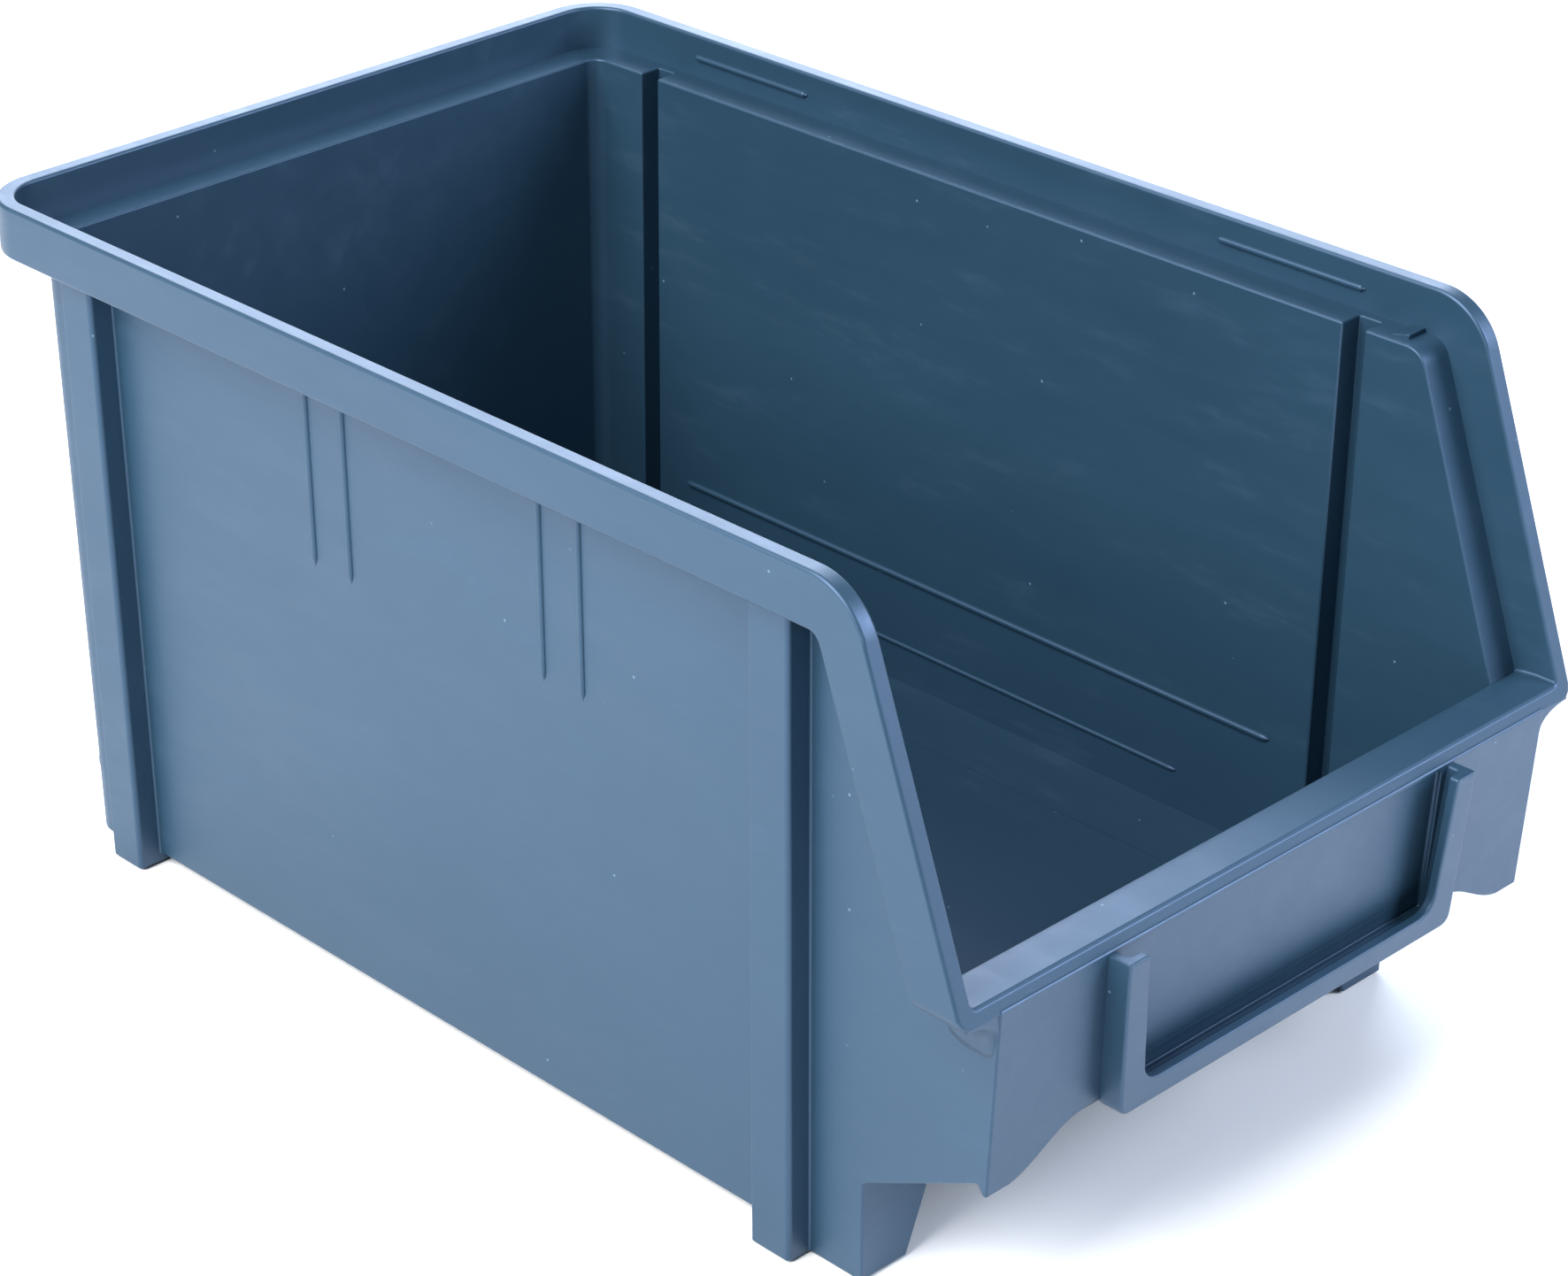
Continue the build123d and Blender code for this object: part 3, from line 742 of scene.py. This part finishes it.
    def arch(self) -> Object:
        """Make the cutter of the arch under the front wall.

        Returns:
            The cutter, which stays between the side walls.
        """
        p = self.profile
        foot = p.panel_in - self.arch_inset
        height = self.arch_top - self.arch_low
        shares = [index / self.arch_steps for index in range(1, self.arch_steps + 1)]
        rise = [(foot - self.arch_curve * share, self.arch_low + height * eased(share)) for share in shares]
        wide = foot + self.arch_spread
        right = [(wide, self.arch_low - CUT_PAST), (wide, self.arch_low - 1.0), *rise]
        return along_y(mirrored(right), -p.rim_rear - CUT_PAST, p.front_y(0, p.plate + 3))

    def window(self) -> Object:
        """Make the cutter of the shallow field behind the label holder.

        Returns:
            The cutter, which leans with the front wall.
        """
        p = self.profile
        low, high = self.window_low, p.nose_z - 0.1
        view = [
            (p.front_y(z, depth), z)
            for z, depth in ((low, -5.0), (low, self.window_depth), (high, self.window_depth), (high, -5.0))
        ]
        return along_x(view, -self.window_half, self.window_half)

    def panel_lift(self, sign: float) -> Object:
        """Make the cutter that lifts the foot of one side panel between its pillars.

        Args:
            sign: -1 for the left side and 1 for the right one.

        Returns:
            The cutter.
        """
        p = self.profile
        near, far = sorted((sign * (p.panel_in - CUT_PAST), sign * (p.rim_half + CUT_PAST)))
        return block((near, p.front_pillar[1], -CUT_PAST), (far, p.rear_pillar[0], self.panel_foot))

    def build(self) -> None:
        """Make the tub and stand it for the wall and ledge nodes."""
        p = self.profile
        tub = self.loft(True, 0.0, p.ledge_z + 6)
        combine(tub, along_x(self.wall_side_view(), -p.rim_half, p.rim_half), Operation.INTERSECT)
        combine(tub, self.ledge(), Operation.UNION)
        for cutter in (self.cavity(), self.arch(), self.window(), *map(self.panel_lift, SIDES.values())):
            combine(tub, cutter, Operation.DIFFERENCE)
        rounded(tub, self.edge_radius, EDGE_HIGHLIGHT_SLOT)
        nodes = ["rear_wall", "front_wall", "ledge_rear"]
        nodes += pairs("rear_corner", "rear_pillar", "side_panel", "front_pillar", "front_quarter")
        nodes += pairs("ledge_corner", "ledge_side", "ledge_slope")
        finish_piece(tub, "tub_wall", nodes, self.finishes)


@dataclass
class Rim(Part):
    """Stiff collar round the top, sloping ends and the lip between them, with a gusset under each end."""

    corner_radius: float = 11.0
    corner_steps: int = 14
    bend_steps: int = 14
    open_front: float = 1.3
    lip_crown: float = 0.55
    lip_lap: float = 0.8
    edge_radius: float = 0.62
    gusset_drop: float = 8.0
    gusset_steps: int = 10
    gusset_stations: int = 22
    gusset_shy: float = 0.3
    gusset_lead: float = 5.0
    gusset_fade: float = 13.0
    gusset_start: float = 0.35
    gusset_grow: float = 3.0
    gusset_lap: float = 0.8
    tip_radius: float = 2.4
    tip_steps: int = 6
    tip_clear: float = 3.0
    tip_share: float = 0.55

    def collar(self) -> Object:
        """Make the collar round the sides and rear, bent down along the sloping ends.

        Returns:
            The collar as a solid.
        """
        p = self.profile
        corner = (p.rim_half - self.corner_radius, p.rim_rear - self.corner_radius)
        outer, inner = (
            mirrored([
                (p.rim_half - depth, -p.rim_rear * self.open_front),
                *arc(corner, self.corner_radius - depth, 0, 90, self.corner_steps),
            ])
            for depth in (0.0, p.rim_thickness)
        )
        collar = along_z([*outer, *reversed(inner)], p.nose_z - CUT_PAST, p.height + CUT_PAST)
        return combine(collar, p.band_solid(0.0, p.nose_z, self.bend_steps), Operation.INTERSECT)

    def lip(self) -> Object:
        """Make the crowned lip across the front, between the collar's ends.

        Returns:
            The lip as a solid that runs into both ends.
        """
        p = self.profile
        under = p.lip_top - p.plate
        view = [
            (p.slope_y(p.lip_top, p.ledge_drop), p.lip_top - self.lip_crown),
            (p.slope_y(p.lip_top, p.ledge_drop * 0.78), p.lip_top - self.lip_crown * 0.3),
            (p.slope_y(p.lip_top, p.ledge_drop * 0.5), p.lip_top),
            (p.slope_y(p.lip_top), p.lip_top),
            (p.slope_y(p.nose_z), p.nose_z),
            (p.front_y(p.nose_z, p.plate + 0.4), p.nose_z),
            (p.front_y(under, p.plate + 0.4), under),
            (p.slope_y(under, p.ledge_drop), under),
        ]
        reach = p.rim_half - p.rim_thickness + self.lip_lap
        return along_x(view, -reach, reach)

    def tip_cutter(self, sign: float) -> Object:
        """Make the cutter that rounds the low outer corner of one end of the rim.

        Args:
            sign: -1 for the left side and 1 for the right one.

        Returns:
            The cutter.
        """
        p = self.profile
        radius = self.tip_radius
        centre = (p.rim_half - radius, p.nose_z + radius)
        outside, below = p.rim_half + self.tip_clear, p.nose_z - self.tip_clear
        outline = [(outside, below), (outside, centre[1]), *arc(centre, radius, 0, -90, self.tip_steps)]
        outline.append((centre[0], below))
        view = [(sign * x, z) for x, z in outline]
        return along_y(view, -p.rim_rear - CUT_PAST, p.slope_y(p.nose_z, p.band + self.lip_lap))

    def gusset_ring(self, sign: float, y: float) -> list[Point3]:
        """Outline of a gusset at one depth: a hollow curve that fades towards the rear.

        Args:
            sign: -1 for the left side and 1 for the right one.
            y: Depth of the outline.

        Returns:
            The points, from the wall's inside over the curve and back.
        """
        p = self.profile
        foot_y = p.slope_y(p.nose_z, p.band)
        reach = p.rim_half - self.tip_radius * self.tip_share - (p.panel_in + p.wall - p.inset_at(p.nose_z))
        fade = min(1.0, max(0.0, (y - foot_y + self.gusset_lead) / (self.gusset_fade + self.gusset_lead)))
        share = 0.5 + 0.5 * math.cos(math.pi * fade)
        grown = min(1.0, self.gusset_start + (y - p.nose_y) / self.gusset_grow)
        drop = self.gusset_drop * share * eased(grown)
        top = max(p.nose_z, p.slope_z(y, p.band))
        root = p.panel_in + p.wall - p.inset_at(top) - 0.05
        inside, above = sign * (root - self.gusset_lap), top + self.gusset_lap
        ring = [(inside, y, above), (sign * (root + reach * share), y, above)]
        for index in range(self.gusset_steps + 1):
            turn = math.pi / 2 * index / self.gusset_steps
            x = root + reach * share * (1 - math.sin(turn))
            ring.append((sign * x, y, top - drop * (1 - math.cos(turn))))
        return [*ring, (inside, y, top - drop - 0.01)]

    def gusset(self, side: str, sign: float) -> None:
        """Make the hollow-curved web that blends one end of the rim into the wall below it.

        Args:
            side: Name of the side.
            sign: -1 for the left side and 1 for the right one.
        """
        p = self.profile
        start = p.nose_y + self.gusset_shy
        length = p.slope_y(p.nose_z, p.band) + self.gusset_fade - p.nose_y - self.gusset_shy
        shares = [station / self.gusset_stations for station in range(self.gusset_stations + 1)]
        web = skin([self.gusset_ring(sign, start + share * length) for share in shares])
        for face in web.data.polygons:
            face.use_smooth = len(face.vertices) == 4
        finish_piece(web, f"gusset_web_{side}", [f"lip_gusset_{side}"], self.finishes)

    def build(self) -> None:
        """Make the rim and its gussets."""
        rim = combine(self.collar(), self.lip(), Operation.UNION)
        for sign in SIDES.values():
            combine(rim, self.tip_cutter(sign), Operation.DIFFERENCE)
        rounded(rim, self.edge_radius, EDGE_HIGHLIGHT_SLOT)
        nodes = ["collar_rear", "front_lip"]
        nodes += pairs("collar_corner", "collar_side", "collar_bend", "collar_slope")
        finish_piece(rim, "rim_and_lip", nodes, self.finishes)
        for side, sign in SIDES.items():
            self.gusset(side, sign)


@dataclass
class Bottom(Part):
    """Floor, the ramp up to the front wall, and the hollow feet below."""

    lap: float = 0.4
    side_lap: float = 0.5
    toe: tuple[Point2, ...] = ((1.4, 0.0), (0.4, 0.5), (0.0, 1.6))
    ramp_front: float = 34.6
    ramp_thick: float = 2.4
    ramp_lift: float = 0.8
    pan_radius: float = 0.15
    panel_rise: float = 0.35
    panel_half: float = 47.5
    panel_inset: float = 6.0
    panel_slant: float = 1.0
    panel_radius: float = 0.2
    foot_low: float = 9.0
    foot_high: float = 14.0
    foot_radius: float = 0.4

    @property
    def under(self) -> float:
        """Underside of the floor."""
        return self.profile.floor_top - self.profile.plate

    def pan(self) -> None:
        """Make the floor with its ramp, and a tab into each hollow pillar."""
        p = self.profile
        front, rear = p.foot_front, p.rear_in + self.lap
        inner = front + p.plate
        slope = (self.ramp_front - p.notch_z) / (front - p.front_y(self.ramp_front, p.plate))
        ramp_low = p.front_y(self.ramp_front, p.plate * self.lap)
        ramp_z = self.ramp_front + self.ramp_lift
        side_view = [
            (front, self.under),
            (rear, self.under),
            (rear, p.floor_top),
            *((inner + along, p.floor_top + rise) for along, rise in self.toe),
            (inner, p.notch_z - slope * p.plate + self.ramp_thick),
            (ramp_low, ramp_z + self.ramp_thick),
            (ramp_low, ramp_z),
            (front, p.notch_z),
        ]
        draft = p.inset_at(p.floor_top)
        half, reach = p.panel_in - draft + self.side_lap, p.pillar_in - draft + self.side_lap
        pan = along_x(side_view, -half, half)
        for start, end in (p.front_pillar, p.rear_pillar):
            near, far = start + p.wall - self.lap, end - p.wall + self.lap
            combine(pan, block((-reach, near, self.under), (reach, far, p.floor_top)), Operation.UNION)
        rounded(pan, self.pan_radius)
        finish_piece(pan, "floor_and_ramp", ["floor_pan", "front_riser", "front_ramp"], self.finishes)

    def panel(self) -> None:
        """Make the raised panel on the floor, an added detail that stands for no node."""
        p = self.profile
        front = p.foot_front + p.plate + self.panel_inset
        rear = p.rear_in - self.panel_inset
        rings = []
        for z, grow in ((p.floor_top - self.lap, 0.0), (p.floor_top + self.panel_rise, self.panel_slant)):
            half, near, far = self.panel_half - grow, front + grow, rear - grow
            rings.append([(-half, near, z), (half, near, z), (half, far, z), (-half, far, z)])
        finish_piece(rounded(skin(rings), self.panel_radius), "floor_panel", [], self.finishes)

    def foot(self, side: str, sign: float) -> None:
        """Make one foot: a slanting web under the floor, closed at the front.

        Args:
            side: Name of the side.
            sign: -1 for the left side and 1 for the right one.
        """
        p = self.profile
        front, top = p.foot_front, self.under + self.lap
        low_x, high_x = p.panel_in - self.foot_low, p.panel_in - self.foot_high
        side_x = p.panel_in - p.inset_at(0) + 0.7
        web = [(low_x, 0.0), (low_x + p.plate, 0.0), (high_x + p.plate, top), (high_x, top)]
        cap = [(low_x, 0.0), (side_x, 0.0), (side_x, top), (high_x, top)]
        foot = along_y([(sign * x, z) for x, z in web], front + 0.3, p.rear_in - p.inset_at(0) + 0.6)
        combine(foot, along_y([(sign * x, z) for x, z in cap], front, front + p.plate), Operation.UNION)
        rounded(foot, self.foot_radius, EDGE_HIGHLIGHT_SLOT)
        finish_piece(foot, f"foot_{side}", [f"skirt_web_{side}", f"front_foot_{side}"], self.finishes)

    def build(self) -> None:
        """Make the floor with its ramp, the raised floor panel and both feet."""
        self.pan()
        self.panel()
        for side, sign in SIDES.items():
            self.foot(side, sign)


@dataclass
class LabelHolder(Part):
    """U-shaped holder on the front wall, open at the top, with a card slot behind its flange."""

    depth: float = 4.2
    flange: float = 2.0
    side: float = 2.0
    lap: float = 0.4
    root: float = 0.6
    under_lip: float = 0.3
    bottom_z: float = 33.2
    sill_z: float = 37.4
    top_x: float = 41.3
    bottom_x: float = 40.0
    in_top_x: float = 36.6
    in_bottom_x: float = 35.0
    radius: float = 3.4
    side_radius: float = 1.0
    outer_radius: float = 2.2
    inner_steps: int = 6
    outer_steps: int = 5
    edge_radius: float = 0.55

    def outline(self, inner_top: float, inner_low: float, inner_z: float, radius: float) -> list[Point2]:
        """U-shaped outline with rounded corners.

        Args:
            inner_top: Half width of the opening at its top.
            inner_low: Half width of the opening at its bottom.
            inner_z: Height of the opening's bottom.
            radius: Radius of the opening's corners.

        Returns:
            The points in X and Z.
        """
        top = self.profile.nose_z + self.under_lip
        inner = arc((inner_low - radius, inner_z + radius), radius, 0, -90, self.inner_steps)
        low = (self.bottom_x - self.outer_radius, self.bottom_z + self.outer_radius)
        outer = arc(low, self.outer_radius, -90, 0, self.outer_steps)
        return mirrored([*outer, (self.top_x, top), (inner_top, top), *inner])

    def build(self) -> None:
        """Make the holder and lean it with the front wall."""
        p = self.profile
        side = self.side
        flange = self.outline(self.in_top_x, self.in_bottom_x, self.sill_z, self.radius)
        sides = self.outline(self.top_x - side, self.bottom_x - side, self.bottom_z + side, self.side_radius)
        back = self.flange - self.depth
        holder = along_y(flange, -self.depth, back)
        combine(holder, along_y(sides, back - self.lap, self.root), Operation.UNION)
        for vertex in holder.data.vertices:
            vertex.co.y += p.front_y(vertex.co.z)
        rounded(holder, self.edge_radius, EDGE_HIGHLIGHT_SLOT)
        finish_piece(holder, "label_holder", ["label_sill", *pairs("label_arm")], self.finishes)


class TrimTree:
    """Geometry Nodes tree that lays a raised, round-ended bead along every line of a mesh."""

    STATIONS = 240
    SECTION_SIDES = 16
    END_SHARE = 0.25
    DEFAULTS = {"Half Width": 0.6, "Round End": 1.2}

    def __init__(self) -> None:
        """Build the tree."""
        tree = bpy.data.node_groups.new("raised_trim", "GeometryNodeTree")
        self.tree = tree
        face = tree.interface
        face.new_socket("Lines", in_out="INPUT", socket_type="NodeSocketGeometry")
        self.sockets: dict[str, str] = {}
        for label, default in self.DEFAULTS.items():
            made = face.new_socket(label, in_out="INPUT", socket_type="NodeSocketFloat")
            made.default_value = default
            self.sockets[label] = made.identifier
        made = face.new_socket("Finish", in_out="INPUT", socket_type="NodeSocketMaterial")
        self.sockets["Finish"] = made.identifier
        face.new_socket("Trim", in_out="OUTPUT", socket_type="NodeSocketGeometry")
        entry = add_node(tree, "NodeGroupInput").outputs
        curve = add_node(tree, "GeometryNodeMeshToCurve", inputs={"Mesh": entry["Lines"]})
        fine = add_node(
            tree,
            "GeometryNodeResampleCurve",
            inputs={"Curve": curve.outputs["Curve"], "Count": self.STATIONS},
        )
        upright = add_node(
            tree, "GeometryNodeSetCurveNormal", {"mode": "MINIMUM_TWIST"}, {"Curve": fine.outputs["Curve"]}
        )
        ring = add_node(
            tree,
            "GeometryNodeCurvePrimitiveCircle",
            inputs={"Resolution": self.SECTION_SIDES, "Radius": entry["Half Width"]},
        )
        swept = add_node(
            tree,
            "GeometryNodeCurveToMesh",
            inputs={
                "Curve": upright.outputs["Curve"],
                "Profile Curve": ring.outputs["Curve"],
                "Fill Caps": True,
                "Scale": self.end_scale(entry["Round End"]),
            },
        )
        smooth = add_node(tree, "GeometryNodeSetShadeSmooth", inputs={"Geometry": swept.outputs["Mesh"]})
        real = add_node(tree, "GeometryNodeRealizeInstances", inputs={"Geometry": smooth.outputs["Geometry"]})
        dressed = add_node(
            tree,
            "GeometryNodeSetMaterial",
            inputs={"Geometry": real.outputs["Geometry"], "Material": entry["Finish"]},
        )
        add_node(tree, "NodeGroupOutput", inputs={0: dressed.outputs["Geometry"]})

    def end_scale(self, length: Socket) -> Socket:
        """Scale of the bead's section: full along the middle and smaller towards both ends.

        Args:
            length: Length of each rounded end.

        Returns:
            The scale.
        """
        tree = self.tree
        place = add_node(tree, "GeometryNodeSplineParameter").outputs["Length"]
        whole = add_node(tree, "GeometryNodeSplineLength").outputs["Length"]
        left = add_node(tree, "ShaderNodeMath", {"operation": "SUBTRACT"}, {0: whole, 1: place}).outputs[0]
        nearest = add_node(tree, "ShaderNodeMath", {"operation": "MINIMUM"}, {0: place, 1: left}).outputs[0]
        return add_node(
            tree,
            "ShaderNodeMapRange",
            {"interpolation_type": "SMOOTHSTEP"},
            {"Value": nearest, "From Min": 0.0, "From Max": length, "To Min": self.END_SHARE, "To Max": 1.0},
        ).outputs["Result"]

    def lay(self, name: str, lines: Sequence[tuple[Point3, Point3]], half_width: float, end: float,
            finish: bpy.types.Material) -> Object:
        """Lay a bead along each line.

        Args:
            name: Name of the piece.
            lines: Ends of each line in metres.
            half_width: Radius of the bead in metres.
            end: Length of each rounded end in metres.
            finish: Material of the bead.

        Returns:
            The piece, a plain mesh in metres.
        """
        mesh = bpy.data.meshes.new(name)
        points = [point for line in lines for point in line]
        edges = [(2 * index, 2 * index + 1) for index in range(len(lines))]
        mesh.from_pydata(points, edges, [])
        piece = bpy.data.objects.new(name, mesh)
        bpy.context.scene.collection.objects.link(piece)
        modifier = piece.modifiers.new("trim", "NODES")
        modifier.node_group = self.tree
        modifier[self.sockets["Half Width"]] = half_width
        modifier[self.sockets["Round End"]] = end
        modifier[self.sockets["Finish"]] = finish
        return evaluated(piece)


@dataclass
class Trim(Part):
    """Thin ribs outside, raised beads inside and the stops on the ledge."""

    rib_half: float = 0.62
    rib_end: float = 1.6
    bead_half: float = 0.62
    thin_bead_half: float = 0.45
    bead_end: float = 0.9
    proud: float = 0.10
    stop_sink: float = 0.3
    stop_radius: float = 0.18

    def lines_for(self, nodes: Sequence[str], vertical: bool) -> list[tuple[Point3, Point3]]:
        """Middle line of each straight trim node, just under the face that it stands on.

        Args:
            nodes: Names of the trim nodes.
            vertical: True for ribs that stand on the drafted wall, False for level beads.

        Returns:
            Both ends of each line, in metres.
        """
        p = self.profile
        lines = []
        for node in nodes:
            low, high = node_box(node)
            side = 1.0 if low.x > 0 else -1.0
            middle = (low + high) / 2
            if vertical:
                root = p.panel_in + p.wall - self.proud
                ends = [(side * (root - p.inset_at(z)), middle.y, z) for z in (low.z, high.z)]
            else:
                face = max(abs(low.x), abs(high.x)) - self.proud
                ends = [(side * face, y, middle.z) for y in (low.y, high.y)]
            lines.append(tuple(tuple(value * MM for value in end) for end in ends))
        return lines

    def lay(self, tree: TrimTree, name: str, nodes: Sequence[str], vertical: bool, half: float,
            end: float) -> None:
        """Lay one group of trim and stand it for its CAD nodes.

        Args:
            tree: The tree that makes the trim.
            name: Name of the group.
            nodes: Names of its CAD nodes.
            vertical: True for ribs, False for level beads.
            half: Radius of the bead.
            end: Length of each rounded end.
        """
        lines = self.lines_for(nodes, vertical)
        declare(tree.lay(f"{name}_trim", lines, half * MM, end * MM, self.finishes.face), nodes)

    def stop(self, side: str) -> None:
        """Make the small wedge on the ledge that stops the bin above from sliding.

        Args:
            side: Name of the side.
        """
        low, high = node_box(f"ledge_stop_{side}")
        foot = low.z - self.stop_sink
        wedge = along_x([(high.y, foot), (low.y, foot), (low.y, high.z), (high.y, low.z)], low.x, high.x)
        rounded(wedge, self.stop_radius, EDGE_HIGHLIGHT_SLOT)
        finish_piece(wedge, f"ledge_wedge_{side}", [f"ledge_stop_{side}"], self.finishes)

    def build(self) -> None:
        """Make the ribs, beads and ledge stops of both sides."""
        tree = TrimTree()
        for side in SIDES:
            ribs = [f"side_rib_{number}_{side}" for number in (1, 2, 3, 4)]
            self.lay(tree, f"side_ribs_{side}", ribs, True, self.rib_half, self.rib_end)
            collar = [f"collar_bead_{place}_{side}" for place in ("rear", "front")]
            self.lay(tree, f"collar_beads_{side}", collar, False, self.bead_half, self.bead_end)
            for place, half in (("upper", self.bead_half), ("lower", self.thin_bead_half)):
                node = f"wall_bead_{place}_{side}"
                self.lay(tree, node, [node], False, half, self.bead_end)
            self.stop(side)


@dataclass(frozen=True)
class Softbox:
    """Square studio light aimed at a point, with its lengths in metres and its power in watts."""

    name: str
    place: Point3
    aim: Point3
    size: float
    power: float
    colour: str

    def build(self) -> None:
        """Put the light in the scene."""
        lamp = bpy.data.lights.new(self.name, "AREA")
        lamp.shape = "SQUARE"
        lamp.size = self.size
        lamp.energy = self.power
        lamp.color = linear(self.colour)[:3]
        holder = bpy.data.objects.new(self.name, lamp)
        holder.location = self.place
        holder.rotation_mode = "QUATERNION"
        holder.rotation_quaternion = (Vector(self.aim) - Vector(self.place)).to_track_quat("-Z", "Y")
        bpy.context.scene.collection.objects.link(holder)


@dataclass
class Studio:
    """Pale paper floor, three softboxes, dim even surroundings and the camera, in metres."""

    camera_place: Point3 = (-0.43286, -0.43868, 0.37861)
    yaw: float = -0.75145
    pitch: float = 0.51254
    roll: float = -0.01218
    lens: float = 93.85
    sensor: float = 36.0
    shift: Point2 = (0.0761, 0.0791)
    clip: Point2 = (0.01, 20.0)
    floor_colour: str = "#F4F5F6"
    floor_roughness: float = 0.9
    floor_half: float = 6.0
    floor_z: float = -0.0003
    sky_colour: str = "#F7F9FB"
    ambient: float = 0.22
    softboxes: tuple[Softbox, ...] = (
        Softbox("left_softbox", (-1.05, 0.10, 1.05), (0.0, 0.0, 0.05), 1.1, 54.0, "#FFFFFF"),
        Softbox("rear_softbox", (0.77, 0.82, 0.72), (0.0, 0.0, 0.06), 1.0, 24.0, "#E6F0FF"),
        Softbox("front_softbox", (0.42, -0.62, 0.42), (0.08, -0.22, 0.0), 0.35, 7.0, "#E6EEFF"),
    )

    def floor(self) -> None:
        """Make the floor."""
        half = self.floor_half
        corners = [(-half, -half), (half, -half), (half, half), (-half, half)]
        mesh = bpy.data.meshes.new("studio_floor")
        mesh.from_pydata([(x, y, self.floor_z) for x, y in corners], [], [(0, 1, 2, 3)])
        floor = bpy.data.objects.new("studio_floor", mesh)
        bpy.context.scene.collection.objects.link(floor)
        paper = bpy.data.materials.new("studio_paper")
        paper.use_nodes = True
        shader = paper.node_tree.nodes["Principled BSDF"]
        shader.inputs["Base Color"].default_value = linear(self.floor_colour)
        shader.inputs["Roughness"].default_value = self.floor_roughness
        mesh.materials.append(paper)

    def surroundings(self) -> None:
        """Make the dim, even light that comes from all round."""
        world = bpy.data.worlds.new("studio")
        world.use_nodes = True
        sky = world.node_tree.nodes["Background"]
        sky.inputs["Color"].default_value = linear(self.sky_colour)
        sky.inputs["Strength"].default_value = self.ambient
        bpy.context.scene.world = world

    def camera(self) -> None:
        """Make the camera from its place and its three angles."""
        level = math.cos(self.pitch)
        back = Vector((math.sin(self.yaw) * level, -math.cos(self.yaw) * level, math.sin(self.pitch)))
        right = Vector((math.cos(self.yaw), math.sin(self.yaw), 0.0))
        up = back.cross(right)
        turned_right = right * math.cos(self.roll) + up * math.sin(self.roll)
        turned_up = up * math.cos(self.roll) - right * math.sin(self.roll)
        basis = Matrix((turned_right, turned_up, back)).transposed()
        data = bpy.data.cameras.new("camera")
        data.lens = self.lens
        data.sensor_width = self.sensor
        data.shift_x, data.shift_y = self.shift
        data.clip_start, data.clip_end = self.clip
        camera = bpy.data.objects.new("camera", data)
        camera.matrix_world = Matrix.Translation(self.camera_place) @ basis.to_4x4()
        bpy.context.scene.collection.objects.link(camera)
        bpy.context.scene.camera = camera

    def build(self) -> None:
        """Make the floor, surroundings, lights and camera."""
        bpy.context.scene.view_settings.view_transform = "Standard"
        self.floor()
        self.surroundings()
        for softbox in self.softboxes:
            softbox.build()
        self.camera()


def main() -> None:
    """Build the bin's visible pieces in order, then the studio."""
    logging.basicConfig(level=logging.INFO, format="%(name)s: %(message)s")
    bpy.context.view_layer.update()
    finishes = Finishes(FACE_FINISH.build(), EDGE_HIGHLIGHT_AND_SCUFFS.build())
    profile = Profile.from_nodes()
    Tub(profile, finishes).build()
    Rim(profile, finishes).build()
    Bottom(profile, finishes).build()
    LabelHolder(profile, finishes).build()
    Trim(profile, finishes).build()
    Studio().build()


if __name__ == "__main__":
    main()
